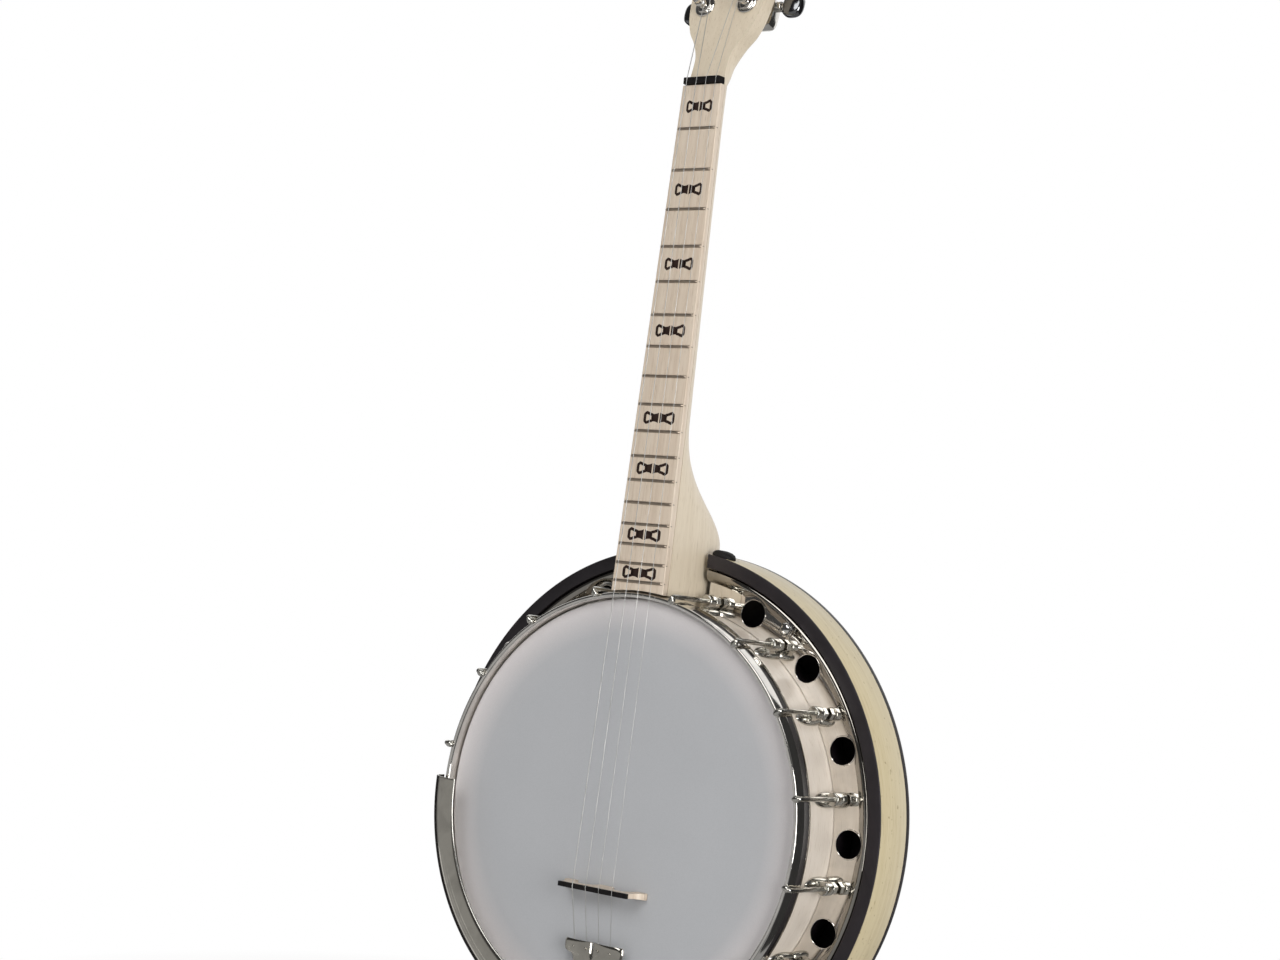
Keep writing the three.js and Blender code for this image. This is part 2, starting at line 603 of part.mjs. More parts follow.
function hookBracket() {
  // [radius, y]: over the tension hoop, round a bend, and down into the nut
  const points = [
    [HOOK_TIP_RADIUS, HOOK_TOP_Y + 0.2], [HOOK_CIRCLE - HOOK_BEND, HOOK_TOP_Y],
    [HOOK_CIRCLE - 0.3 * HOOK_BEND, HOOK_TOP_Y + 0.3 * HOOK_BEND],
    [HOOK_CIRCLE, HOOK_TOP_Y + HOOK_BEND], [HOOK_CIRCLE, HOOK_END_Y],
  ];
  const hook = bar(points.map(([radius, y]) => new THREE.Vector3(0, y, radius)), HOOK_WIRE_RADIUS, 6);
  const nut = pin(NUT_CORNER_RADIUS, NUT_FRONT_Y, NUT_BACK_Y, 6, 0, HOOK_CIRCLE);

  // the shoe: an almond-shaped foot on the rim's wall, and a lug that the hook passes through
  const length = SHOE_BACK_Y - SHOE_FRONT_Y;
  const almond = new THREE.Shape()
    .moveTo(0, -length / 2)
    .quadraticCurveTo(7.4, -length / 6, 4.2, length / 2)
    .lineTo(-4.2, length / 2)
    .quadraticCurveTo(-7.4, -length / 6, 0, -length / 2);
  const options = { depth: SHOE_DEPTH, bevelEnabled: false, curveSegments: 3 };
  const foot = new THREE.ExtrudeGeometry(almond, options);
  foot.translate(0, (SHOE_FRONT_Y + SHOE_BACK_Y) / 2, RIM_OUTER + GAP);
  const lug = pin(SHOE_LUG_RADIUS, SHOE_LUG_FRONT_Y, SHOE_LUG_BACK_Y, 8, 0, HOOK_CIRCLE);
  return join(hook, nut, foot, lug);
}

function buildHooks() {
  const bracket = hookBracket();
  const leftAngles = HOOK_ANGLES.map((angle) => -angle).reverse();
  [...HOOK_ANGLES, ...leftAngles].forEach((angle, i) => {
    const number = String(i + 1).padStart(2, '0');
    addPiece(`hook_bracket_${number}`, aroundPot(bracket, angle), NICKEL);
  });
}

// ---------------------------------------------------------------- bridge, tailpiece and strings

function buildBridge() {
  // three feet with two arches between them
  const seat = -GAP;
  const shoulder = -(BRIDGE_HEIGHT - BRIDGE_CAP_THICKNESS - GAP);
  const footTop = -BRIDGE_FOOT_HEIGHT;
  const outline = new THREE.Shape()
    .moveTo(-BRIDGE_FOOT_HALF, seat)
    .lineTo(-BRIDGE_FOOT_HALF, footTop)
    .quadraticCurveTo(-BRIDGE_CAP_HALF, footTop - 1, -BRIDGE_CAP_HALF, shoulder)
    .lineTo(BRIDGE_CAP_HALF, shoulder)
    .quadraticCurveTo(BRIDGE_CAP_HALF, footTop - 1, BRIDGE_FOOT_HALF, footTop)
    .lineTo(BRIDGE_FOOT_HALF, seat);
  for (const middle of [BRIDGE_ARCH_MIDDLE, -BRIDGE_ARCH_MIDDLE]) {
    outline.lineTo(middle + 9, seat);
    outline.quadraticCurveTo(middle + 7, -BRIDGE_ARCH_HEIGHT, middle, -BRIDGE_ARCH_HEIGHT);
    outline.quadraticCurveTo(middle - 7, -BRIDGE_ARCH_HEIGHT, middle - 9, seat);
  }
  const options = { depth: BRIDGE_DEPTH, bevelEnabled: false, curveSegments: 4 };
  const body = new THREE.ExtrudeGeometry(outline, options);
  addPiece('bridge', closedSolid(body.translate(0, 0, BRIDGE_Z - BRIDGE_DEPTH / 2)), MAPLE);

  const [capLow, capHigh] = [-1, 1].map((side) => BRIDGE_Z + (side * BRIDGE_CAP_DEPTH) / 2);
  const cap = block(-BRIDGE_CAP_HALF, BRIDGE_CAP_HALF, -BRIDGE_HEIGHT, shoulder - GAP, capLow, capHigh);
  addPiece('bridge_cap', cap, BLACK_COMPOSITE);
}

function buildTailpiece() {
  const barMiddle = TAIL_BAR_TOP_Z - TAIL_BAR_HEIGHT / 2;
  const back = TAIL_FRONT_Y + TAIL_THICKNESS;
  const barOutline = roundedRectangle(TAIL_BAR_HALF, TAIL_BAR_HEIGHT / 2, 3.6, 0, barMiddle);
  const crossBar = plate(barOutline, TAIL_FRONT_Y, back);
  const body = new THREE.Shape()
    .moveTo(-16, barMiddle)
    .lineTo(16, barMiddle)
    .quadraticCurveTo(15, -104, 10.5, -112)
    .lineTo(TAIL_BARREL_HALF, TAIL_HINGE_Z)
    .lineTo(-TAIL_BARREL_HALF, TAIL_HINGE_Z)
    .lineTo(-10.5, -112)
    .quadraticCurveTo(-15, -104, -16, barMiddle);
  const alongHinge = (half, radius) => bar(
    [-half, half].map((x) => new THREE.Vector3(x, TAIL_HINGE_Y, TAIL_HINGE_Z)), radius, 10);
  const barrel = alongHinge(TAIL_BARREL_HALF, TAIL_BARREL_RADIUS);
  const screwHole = pin(2.4, -20, 0, 10, 0, TAIL_SCREW_Z);
  const pivotHole = alongHinge(TAIL_EAR_OUTER, TAIL_PIVOT_RADIUS + 0.4);
  const tailpiece = join(crossBar, plate(body, TAIL_FRONT_Y, back), barrel);
  addPiece('tailpiece', cut(tailpiece, screwHole, pivotHole), CHROME);

  // bracket: a strap from the rim's wall, round the hoop, to the two ears that hold the pivot pin
  const strapZ = -HOOP_OUTER - 1.2;
  const yokeZ = TAIL_HINGE_Z - 3.4;
  const strap = block(-TAIL_STRAP_HALF, TAIL_STRAP_HALF, -3, 34, strapZ - 2.4, strapZ);
  const foot = block(-TAIL_STRAP_HALF, TAIL_STRAP_HALF, 18, 34, strapZ - 1, -(RIM_OUTER + GAP));
  const ears = [[-TAIL_EAR_OUTER, -TAIL_EAR_INNER], [TAIL_EAR_INNER, TAIL_EAR_OUTER]].map(
    ([left, right]) => block(left, right, TAIL_HINGE_Y - 3.6, 2, yokeZ, strapZ));
  const yoke = block(-TAIL_EAR_OUTER, TAIL_EAR_OUTER, -3, 2, yokeZ, strapZ);
  const pivot = alongHinge(TAIL_EAR_OUTER, TAIL_PIVOT_RADIUS);
  addPiece('tailpiece_bracket', join(strap, foot, yoke, ...ears, pivot), NICKEL);

  const tip = HOOP_FRONT_Y - GAP;
  addPiece('tailpiece_screw', turned([
    [0, -17.4], [4, -17.4], [4.4, -16.6], [4.4, -13.2], [2, -12.6], [2, tip], [0, tip],
  ], 12).translate(0, 0, TAIL_SCREW_Z), NICKEL);
}

function buildStrings() {
  headstockPosts().forEach((post, i) => {
    const tail = new THREE.Vector3(STRINGS_AT_TAIL[i], TAIL_FRONT_Y + 0.9, TAIL_BAR_TOP_Z + 0.6);
    const lift = STRING_RADIUS + GAP;
    const bridge = new THREE.Vector3(STRINGS_AT_BRIDGE[i], -BRIDGE_HEIGHT - lift, BRIDGE_Z);
    const nut = new THREE.Vector3(STRINGS_AT_NUT[i], NUT_TOP_Y - lift, NUT_Z + NUT_THICKNESS + 0.4);
    const tangent = post.x - post.side * (WINDING_RADIUS + lift);
    const end = headstockPoint(tangent, -6.6, post.up);
    addPiece(`string_${i + 1}`, bar([tail, bridge, nut, end], STRING_RADIUS, 6), STEEL);
  });
}

// ---------------------------------------------------------------- armrest

function buildArmrest() {
  // part of an ellipse over the tension hoop, [radius, y], drawn from its inner edge to its outer edge
  const steps = 7;
  const [from, to] = [105, -10].map(THREE.MathUtils.degToRad);
  const arc = (inset) => Array.from({ length: steps + 1 }, (_, i) => {
    const angle = THREE.MathUtils.lerp(from, to, i / steps);
    const radius = ARMREST_CENTRE.x + (ARMREST_HALF_WIDTH - inset) * Math.cos(angle);
    return new THREE.Vector2(radius, ARMREST_CENTRE.y - (ARMREST_HALF_HEIGHT - inset) * Math.sin(angle));
  });
  const profile = [...arc(0), ...arc(ARMREST_THICKNESS).reverse()];
  const sections = 12;
  const rings = Array.from({ length: sections + 1 }, (_, i) => {
    const angle = THREE.MathUtils.degToRad(THREE.MathUtils.lerp(ARMREST_START, ARMREST_END, i / sections));
    return profile.map((p) => new THREE.Vector3(p.x * Math.sin(angle), p.y, p.x * Math.cos(angle)));
  });
  addPiece('armrest', skinned(rings, profile), CHROME);

  // each clamp: an upright strap outside the hooks, with a foot to the rim's wall
  CLAMP_ANGLES.forEach((angle, i) => {
    const strap = block(-CLAMP_HALF, CLAMP_HALF, 0.6, CLAMP_BACK_Y, CLAMP_OUTER - 1.4, CLAMP_OUTER);
    const footFront = CLAMP_BACK_Y - 2.4;
    const foot = block(-CLAMP_HALF, CLAMP_HALF, footFront, CLAMP_BACK_Y, RIM_OUTER + GAP, CLAMP_OUTER);
    addPiece(`armrest_clamp_${i + 1}`, aroundPot(join(strap, foot), angle), NICKEL);
  });
}

// ---------------------------------------------------------------- tuners

// Each tuner is drawn about its own post, with the button towards +x, and is mirrored for the other side.
function buildTuners() {
  const back = HEADSTOCK_THICKNESS;
  const gearFront = back + GEAR_FRONT;
  const gearBack = back + GEAR_BACK;
  const wormY = (gearFront + gearBack) / 2;

  const shaft = (radius, from, to, sides) => bar(
    [from, to].map((x) => new THREE.Vector3(x, wormY, WORM_OFFSET)), radius, sides);

  const casing = join(
    plate(
      roundedRectangle(...HOUSING_HALF, HOUSING_CORNER, ...HOUSING_MIDDLE),
      back + GAP, back + HOUSING_DEPTH, 2,
    ),
    shaft(BOSS_RADIUS, 8, 14.2, 8),
    pin(BUSHING_RADIUS, -1.4, back + 2, 10),
    turned([[0, -2.4], [5.6, -2.4], [7.5, -1.4], [7.5, -GAP], [0, -GAP]], 10),
  );
  const housing = cut(
    casing,
    pin(POST_RADIUS + GAP, -5, gearBack + 0.4, 10),
    pin(GEAR_RADIUS + 0.4, gearFront - 0.4, gearBack + 0.4, 10),
    shaft(WORM_RADIUS + GAP, -4.2, 20, 8),
  );

  const knobLayer = (halfX, halfZ, halfY) => plate(
    ellipseOutline(halfX, halfZ, KNOB_X, WORM_OFFSET), wormY - halfY, wormY + halfY, 6);
  const button = join(shaft(WORM_RADIUS, -3.8, 17, 8), knobLayer(7.6, 8.2, 2.4), knobLayer(6.2, 6.8, 3.6));

  const post = turned([
    [0, -12.4], [2.6, -12.4], [POST_RADIUS, -11.9], [POST_RADIUS, -9.6], [2.4, -9], [2.4, -8.2],
    [WINDING_RADIUS, -8.2], [WINDING_RADIUS, -5.2], [2.6, -5.2], [POST_RADIUS, -4],
    [POST_RADIUS, gearFront],
    [GEAR_RADIUS, gearFront], [GEAR_RADIUS, gearBack], [0, gearBack],
  ], 10);

  headstockPosts().forEach(({ x, up, side }, i) => {
    const place = (geometry) => {
      const mirrored = geometry.clone().scale(side, 1, 1).translate(x, 0, up);
      return inHeadstock(closedSolid(mirrored));
    };
    addPiece(`tuner_housing_${i + 1}`, place(housing), NICKEL);
    addPiece(`tuner_button_${i + 1}`, place(button), DARK_CHROME);
    addPiece(`tuner_post_${i + 1}`, place(post), NICKEL);
  });
}

buildNeck();
buildPot();
buildFlange();
buildResonator();
buildHooks();
buildBridge();
buildTailpiece();
buildStrings();
buildArmrest();
buildTuners();

export default instrument;
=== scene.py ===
"""Looks of a seventeen-fret tenor banjo with a resonator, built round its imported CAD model.

Shapes are drawn in millimetres in the pot's own frame: the drum skin's front is the plane y = 0, +Z runs
up the neck, and +X is to the right of someone who faces the drum. piece() puts them in the row frame, which
is in metres.
"""

from math import asin, atan, copysign, cos, exp, log, pi, radians, remainder, sin, sqrt

import bmesh
import bpy
from mathutils import Matrix, Vector


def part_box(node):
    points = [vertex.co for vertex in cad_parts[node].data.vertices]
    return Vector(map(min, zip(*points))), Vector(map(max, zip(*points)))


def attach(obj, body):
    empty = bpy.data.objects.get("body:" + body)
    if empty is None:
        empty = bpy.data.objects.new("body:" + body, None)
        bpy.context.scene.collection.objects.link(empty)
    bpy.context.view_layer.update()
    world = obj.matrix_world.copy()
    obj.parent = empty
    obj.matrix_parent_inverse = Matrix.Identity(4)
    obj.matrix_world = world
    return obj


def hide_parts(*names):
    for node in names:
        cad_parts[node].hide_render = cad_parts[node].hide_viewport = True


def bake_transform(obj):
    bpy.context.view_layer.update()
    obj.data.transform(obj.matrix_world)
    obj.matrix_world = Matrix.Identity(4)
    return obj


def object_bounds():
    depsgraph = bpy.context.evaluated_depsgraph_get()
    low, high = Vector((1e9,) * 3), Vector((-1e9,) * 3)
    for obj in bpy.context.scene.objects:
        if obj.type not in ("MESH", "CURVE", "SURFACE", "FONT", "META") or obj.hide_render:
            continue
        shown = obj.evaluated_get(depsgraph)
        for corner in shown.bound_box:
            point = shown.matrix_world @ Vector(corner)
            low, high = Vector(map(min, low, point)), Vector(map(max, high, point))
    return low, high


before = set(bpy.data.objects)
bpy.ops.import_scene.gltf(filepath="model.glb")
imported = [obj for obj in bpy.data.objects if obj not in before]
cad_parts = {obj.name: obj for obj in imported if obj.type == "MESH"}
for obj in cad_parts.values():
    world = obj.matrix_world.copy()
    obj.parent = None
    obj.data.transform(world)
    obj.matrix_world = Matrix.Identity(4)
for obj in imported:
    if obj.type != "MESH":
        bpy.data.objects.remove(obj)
cad_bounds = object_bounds()


# --- the pot's frame

MM = 0.001
head_low, head_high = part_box("head")
POT_CENTRE = Vector(((head_low.x + head_high.x) / 2, head_low.y, (head_low.z + head_high.z) / 2))
POT_FRAME = Matrix.Translation(POT_CENTRE) @ Matrix.Scale(MM, 4)


def pot_box(node):
    """A CAD node's lowest and highest corners in the pot's frame, in millimetres."""
    return [(corner - POT_CENTRE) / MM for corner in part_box(node)]


def link(name, data):
    """A new object for this mesh, light or camera."""
    obj = bpy.data.objects.new(name, data)
    bpy.context.scene.collection.objects.link(obj)
    return obj


def direction(azimuth, elevation):
    """A unit vector, from degrees. Azimuth 0 is in front of the banjo (-Y), and 90 is to its right (+X)."""
    across, up = radians(azimuth), radians(elevation)
    return Vector((sin(across) * cos(up), -cos(across) * cos(up), sin(up)))


def aim(obj, target, azimuth, elevation, distance, roll=0):
    """Puts a camera or a light at a distance from a target, facing it."""
    outwards = direction(azimuth, elevation)
    facing = outwards.to_track_quat("Z", "Y").to_matrix().to_4x4()
    turn = Matrix.Rotation(radians(roll), 4, "Z")
    obj.matrix_world = Matrix.Translation(target + outwards * distance) @ facing @ turn


# --- camera

CAMERA_AZIMUTH = 36.42
CAMERA_ELEVATION = -3.83
CAMERA_ROLL = 6.51
CAMERA_DISTANCE = 1.458
CAMERA_LENS = 63.0
CAMERA_TARGET = POT_CENTRE + MM * Vector((-10.9, 0, 213.8))


def add_camera():
    data = bpy.data.cameras.new("camera")
    data.lens = CAMERA_LENS
    data.sensor_width = 36
    data.clip_end = 100
    camera = link("camera", data)
    aim(camera, CAMERA_TARGET, CAMERA_AZIMUTH, CAMERA_ELEVATION, CAMERA_DISTANCE, CAMERA_ROLL)
    bpy.context.scene.camera = camera


add_camera()


# --- driving dimensions, as in the CAD part

SCALE_LENGTH = 527
FRET_COUNT = 17
NUT_Z = 477.2
BRIDGE_Z = NUT_Z - SCALE_LENGTH
BOARD_Y_AT_NUT = 3.75
BOARD_SLOPE = 0.025
BOARD_HALF_AT_NUT = 15.4
BOARD_HALF_AT_POT = 20.6
BOARD_END_Z = 142.4
BOARD_THICKNESS = 5.5
HEADSTOCK_TILT = radians(13.5)
HEADSTOCK_THICKNESS = 14
HEADSTOCK = Matrix.Translation((0, 8.3, 482.2)) @ Matrix.Rotation(-HEADSTOCK_TILT, 4, "X")

RIM_OUTER = 136
RIM_INNER = 122
RIM_BACK = 66
COLLAR_OUTER = 137                  # the drum head's
HOOP_INNER = 137.3
HOOP_OUTER = 141.6
NECK_AIR = 0.45                     # between the neck or the flange and the pot
FLANGE_Y = 43.5
FLANGE_THICKNESS = 1.3
FLANGE_CREASE = 155
FLANGE_LIP = 163.4
FLANGE_LIP_Y = 37.8
SOUND_HOLE_CIRCLE = 148
SOUND_HOLE_RADIUS = 9
SOUND_HOLE_ANGLES = [23.7, *[22.5 * k for k in range(2, 15)], -23.7]
RESONATOR_OUTER = 173
RESONATOR_INNER = 164
RESONATOR_FRONT = 37.3
HEEL_SLOT_HALF = 23.6
THUMBSCREW_ANGLES = [36.5, 126.5, -143.5, -53.5]
THUMBSCREW_CIRCLE = 158.6
THUMBSCREW_HOLE = 2.8
HOOK_ANGLES = [12.6, 35.4, 57.2, 79.2, 101.2, 123.6, 146, 168.6]
HOOK_ANGLES += [-angle for angle in reversed(HOOK_ANGLES)]
HOOK_CIRCLE = 143.9
HOOK_WIRE = 1.6
POST_X = 16.8
POST_HEIGHTS = [55, 97]
POST_HOLE = 5.1
WORM_Y = 19.3
WORM_OFFSET = 7.2
STRINGS_AT_NUT = [-11.55, -3.85, 3.85, 11.55]
STRINGS_AT_BRIDGE = [-15.75, -5.25, 5.25, 15.75]
STRINGS_AT_TAIL = [-14.4, -4.8, 4.8, 14.4]
STRING_RADII = [0.30, 0.25, 0.21, 0.18]
TAIL_SPAN_STEPS = 10                # of a string from the tailpiece to the bridge
BRIDGE_HEIGHT = 16.6
TAIL_HINGE = Vector((0, -9.2, -146.2))
TAIL_SCREW_Z = -138.6
THREAD_RADIUS = 1.95                # of the thumbscrews and the tailpiece's screw
THREAD_STEP = 0.4                   # half the pitch
KNURL_DEPTH = 0.3
ARMREST_START = -88.2               # degrees round the pot from the neck
ARMREST_END = -152
BUTTON_X = 23                       # from the post's axis to the middle of the tuner's button

RING_STEPS = 240                    # facets round the pot
CREASE = 35                         # edges sharper than this many degrees stay crisp


# --- shapes: (vertices, faces)


def spread(first, last, steps):
    """Evenly spaced numbers from first to last, with that many steps between them."""
    return [first + (last - first) * i / steps for i in range(steps + 1)]


def circle_angles(count):
    return [2 * pi * k / count for k in range(count)]


def band(first, second):
    """Faces between two rings of vertex numbers. A ring of one vertex is a point."""
    count = max(len(first), len(second))
    faces = []
    for i in range(count):
        j = (i + 1) % count
        if len(first) == 1:
            faces.append((first[0], second[j], second[i]))
        elif len(second) == 1:
            faces.append((first[i], first[j], second[0]))
        else:
            faces.append((first[i], first[j], second[j], second[i]))
    return faces


def loft(rings, closed_path=False):
    """A closed skin over rings of points that all have the same count."""
    vertices = [tuple(point) for ring in rings for point in ring]
    size = len(rings[0])
    numbers = [list(range(r * size, (r + 1) * size)) for r in range(len(rings))]
    faces = []
    for first, second in zip(numbers, numbers[1:]):
        faces += band(first, second)
    if closed_path:
        faces += band(numbers[-1], numbers[0])
    else:
        faces += [tuple(reversed(numbers[0])), tuple(numbers[-1])]
    return vertices, faces


def on_circle(radius, y, angle):
    """A point round the pot's axis. Angle 0 is straight up the neck."""
    return (radius * sin(angle), y, radius * cos(angle))


def turned(profile, steps=RING_STEPS):
    """A profile of (radius, y) turned about the Y axis. It is closed, or it runs from axis to axis."""
    vertices, rings = [], []
    for radius, y in profile:
        first = len(vertices)
        if radius < 1e-6:
            vertices.append((0, y, 0))
        else:
            vertices += [on_circle(radius, y, angle) for angle in circle_angles(steps)]
        rings.append(list(range(first, len(vertices))))
    faces = []
    for first, second in zip(rings, rings[1:]):
        faces += band(first, second)
    if len(rings[0]) > 1:
        faces += band(rings[-1], rings[0])
    return vertices, faces


def rod(radius, low, high, sides=32, rounding=0.0, steps=3):
    """A closed cylinder along Y."""
    profile = [(0, low), (radius, low), (radius, high), (0, high)]
    if rounding:
        profile = rounded(profile, rounding, steps, closed=False)
    return turned(profile, sides)


def slotted_ring(profile):
    """A profile turned about the pot's axis, apart from the slot for the neck's heel at the top."""
    columns = []
    for i in range(RING_STEPS + 1):
        column = []
        for radius, y in profile:
            start = asin(HEEL_SLOT_HALF / radius)
            angle = start + (2 * pi - 2 * start) * i / RING_STEPS
            column.append(on_circle(radius, y, angle))
        columns.append(column)
    return loft(columns)


def tube(points, radius, sides=12):
    """A round bar along points. radius is one number, or one for each point."""
    points = [Vector(point) for point in points]
    radii = radius if isinstance(radius, list) else [radius] * len(points)
    tangent = (points[1] - points[0]).normalized()
    sideways = tangent.orthogonal().normalized()
    rings = []
    for i, point in enumerate(points):
        before = points[max(i - 1, 0)]
        after = points[min(i + 1, len(points) - 1)]
        turn = tangent.rotation_difference((after - before).normalized())
        tangent = (after - before).normalized()
        sideways = turn @ sideways
        upward = tangent.cross(sideways)
        rings.append([
            point + radii[i] * (cos(angle) * sideways + sin(angle) * upward) for angle in circle_angles(sides)
        ])
    return loft(rings)


def prism(outline, low, high, plane="xz"):
    """An outline given thickness along the axis that its plane doesn't use."""
    place = {
        "xz": lambda u, v, depth: (u, depth, v),
        "xy": lambda u, v, depth: (u, v, depth),
        "yz": lambda u, v, depth: (depth, u, v),
    }[plane]
    return loft([[place(u, v, depth) for u, v in outline] for depth in (low, high)])


def rectangle(left, bottom, right, top):
    return [(left, bottom), (right, bottom), (right, top), (left, top)]


def block(x, y, z):
    """A box. Each argument is its (low, high) along that axis."""
    return prism(rectangle(x[0], z[0], x[1], z[1]), *y)


def cushion(half_x, half_z, squareness, steps, centre, rows):
    """A body with one outline in the x-z plane, which is scaled by a share at each (y, share) row."""
    rings = []
    for y, share in rows:
        outline = superellipse(half_x * share, half_z * share, squareness, steps, centre)
        rings.append([(x, y, z) for x, z in outline])
    return loft(rings)


def knurled_grip(radius, knurls, shoulder, heights):
    """A ridged grip along Y. Its first and last rings are shoulder times as wide as the middle."""
    rings = []
    for y, share in zip(heights, (shoulder, 1, 1, shoulder)):
        radii = [share * (radius if k % 2 else radius - KNURL_DEPTH) for k in range(2 * knurls)]
        rings.append([on_circle(reach, y, pi * k / knurls) for k, reach in enumerate(radii)])
    return loft(rings)


def threaded_shaft(low, high, root):
    """A screw's shaft along Y, with ridges for its thread."""
    count = round((high - low) / THREAD_STEP)
    thread = [(THREAD_RADIUS if k % 2 else root, low + THREAD_STEP * k) for k in range(count)]
    return turned([(0, low - 0.1), *thread, (0, high)], 20)


def ribbon(outline, width, low, high):
    """A closed stroke of one width along an outline in the x-z plane."""
    count = len(outline)
    inner, outer = [], []
    for i, point in enumerate(outline):
        along = Vector(outline[(i + 1) % count]) - Vector(outline[i - 1])
        across = Vector((-along.y, along.x)).normalized() * width / 2
        inner.append(Vector(point) - across)
        outer.append(Vector(point) + across)
    loops = [(inner, low), (outer, low), (outer, high), (inner, high)]
    return loft([[(p.x, depth, p.y) for p in loop] for loop, depth in loops], closed_path=True)


def merged(*shapes):
    vertices, faces = [], []
    for shape_vertices, shape_faces in shapes:
        first = len(vertices)
        vertices += shape_vertices
        faces += [tuple(number + first for number in face) for face in shape_faces]
    return vertices, faces


def moved(shape, matrix):
    vertices, faces = shape
    return [tuple(matrix @ Vector(vertex)) for vertex in vertices], faces


def shift(x=0, y=0, z=0):
    return Matrix.Translation((x, y, z))


def around_pot(degrees):
    return Matrix.Rotation(radians(degrees), 4, "Y")


ALONG_X = Matrix.Rotation(-pi / 2, 4, "Z")      # turns a lathe's axis from Y to X
ALONG_Z = Matrix.Rotation(pi / 2, 4, "X")       # from Y to Z
AGAINST_Z = Matrix.Rotation(-pi / 2, 4, "X")    # and from Y to -Z
WORM_AXIS = shift(0, WORM_Y, WORM_OFFSET) @ ALONG_X


# --- outlines and curves


def rounded(points, reach, steps=4, closed=True):
    """The same outline with each corner replaced by a curve that starts at reach from it."""
    count = len(points)
    result = []
    for i, point in enumerate(points):
        corner = Vector(point)
        if not closed and i in (0, count - 1):
            result.append(corner)
            continue
        before = Vector(points[i - 1]) - corner
        after = Vector(points[(i + 1) % count]) - corner
        cut = min(reach, 0.45 * before.length, 0.45 * after.length)
        start = corner + before.normalized() * cut
        end = corner + after.normalized() * cut
        result += curve([start, corner, end], steps)
    return result


def bezier(controls, t):
    """A point on the Bezier curve with these control points."""
    while len(controls) > 1:
        controls = [a.lerp(b, t) for a, b in zip(controls, controls[1:])]
    return controls[0]


def curve(controls, steps):
    """Points along a Bezier curve."""
    return [bezier([Vector(c) for c in controls], t) for t in spread(0, 1, steps)]


def smooth_rows(rows, step):
    """Rows on a smooth curve through the given rows. The first number of a row is the distance along."""
    def slope(i, column):
        low, high = max(i - 1, 0), min(i + 1, len(rows) - 1)
        return (rows[high][column] - rows[low][column]) / (rows[high][0] - rows[low][0])

    result = []
    for i in range(len(rows) - 1):
        length = rows[i + 1][0] - rows[i][0]
        pieces = max(1, round(length / step))
        for k in range(pieces):
            t = k / pieces
            row = [rows[i][0] + t * length]
            for column in range(1, len(rows[0])):
                start, end = rows[i][column], rows[i + 1][column]
                leave, arrive = slope(i, column) * length, slope(i + 1, column) * length
                row.append(
                    (2 * t**3 - 3 * t**2 + 1) * start + (t**3 - 2 * t**2 + t) * leave
                    + (3 * t**2 - 2 * t**3) * end + (t**3 - t**2) * arrive
                )
            result.append(row)
    result.append(list(rows[-1]))
    return result


def polygon(radius, sides):
    return [(radius * cos(angle), radius * sin(angle)) for angle in circle_angles(sides)]


def superellipse_point(half_x, half_z, squareness, angle):
    power = 2 / squareness
    across, up = cos(angle), sin(angle)
    return half_x * copysign(abs(across) ** power, across), half_z * copysign(abs(up) ** power, up)


def superellipse(half_x, half_z, squareness, steps, centre):
    points = [superellipse_point(half_x, half_z, squareness, angle) for angle in circle_angles(steps)]
    return [(centre[0] + x, centre[1] + z) for x, z in points]


# --- materials

WHITE = (1.0, 1.0, 1.0)


def grey(level):
    return (level, level, level)


def new_material(name, **sockets):
    """A Principled material with constant sockets, its node tree and its shader."""
    material = bpy.data.materials.new(name)
    material.use_nodes = True
    shader = material.node_tree.nodes["Principled BSDF"]
    for socket, value in sockets.items():
        name_of_socket = socket.replace("_", " ").title().replace("Ior", "IOR")
        shader.inputs[name_of_socket].default_value = value
    return material, material.node_tree, shader


def add_node(tree, kind, settings=None, **inputs):
    """A shader node with its settings, and its inputs given as values or as other nodes' outputs."""
    node = tree.nodes.new("ShaderNode" + kind)
    for key, value in (settings or {}).items():
        setattr(node, key, value)
    for key, value in inputs.items():
        socket = node.inputs[int(key[1:])] if key[1:].isdigit() else node.inputs[key.replace("_", " ")]
        if isinstance(value, bpy.types.NodeSocket):
            tree.links.new(value, socket)
        else:
            socket.default_value = value
    return node


def object_coordinates(tree):
    return add_node(tree, "TexCoord").outputs["Object"]


def stretched_noise(tree, coordinates, scale, detail=3.0, distortion=0.0):
    """Noise with a scale for each axis, or one for all, in cycles per metre."""
    if not isinstance(scale, tuple):
        scale = (scale, scale, scale)
    mapping = add_node(tree, "Mapping", Vector=coordinates, Scale=scale)
    noise = add_node(
        tree, "TexNoise",
        Vector=mapping.outputs[0], Scale=1.0, Detail=detail, Distortion=distortion,
    )
    return noise.outputs[0]


def ramp(tree, factor, stops):
    """A colour ramp with stops of (position, colour)."""
    node = add_node(tree, "ValToRGB", Fac=factor)
    elements = node.color_ramp.elements
    while len(elements) < len(stops):
        elements.new(0.5)
    for element, (position, colour) in zip(elements, stops):
        element.position = position
        element.color = (*colour, 1.0)
    return node.outputs[0]


def mix_colours(tree, factor, first, second, blend="MIX"):
    settings = {"data_type": "RGBA", "blend_type": blend}
    return add_node(tree, "Mix", settings, _0=factor, _6=first, _7=second).outputs[2]


def map_range(tree, value, low, high, to_low, to_high):
    node = add_node(tree, "MapRange", _0=value, _1=low, _2=high, _3=to_low, _4=to_high)
    return node.outputs[0]


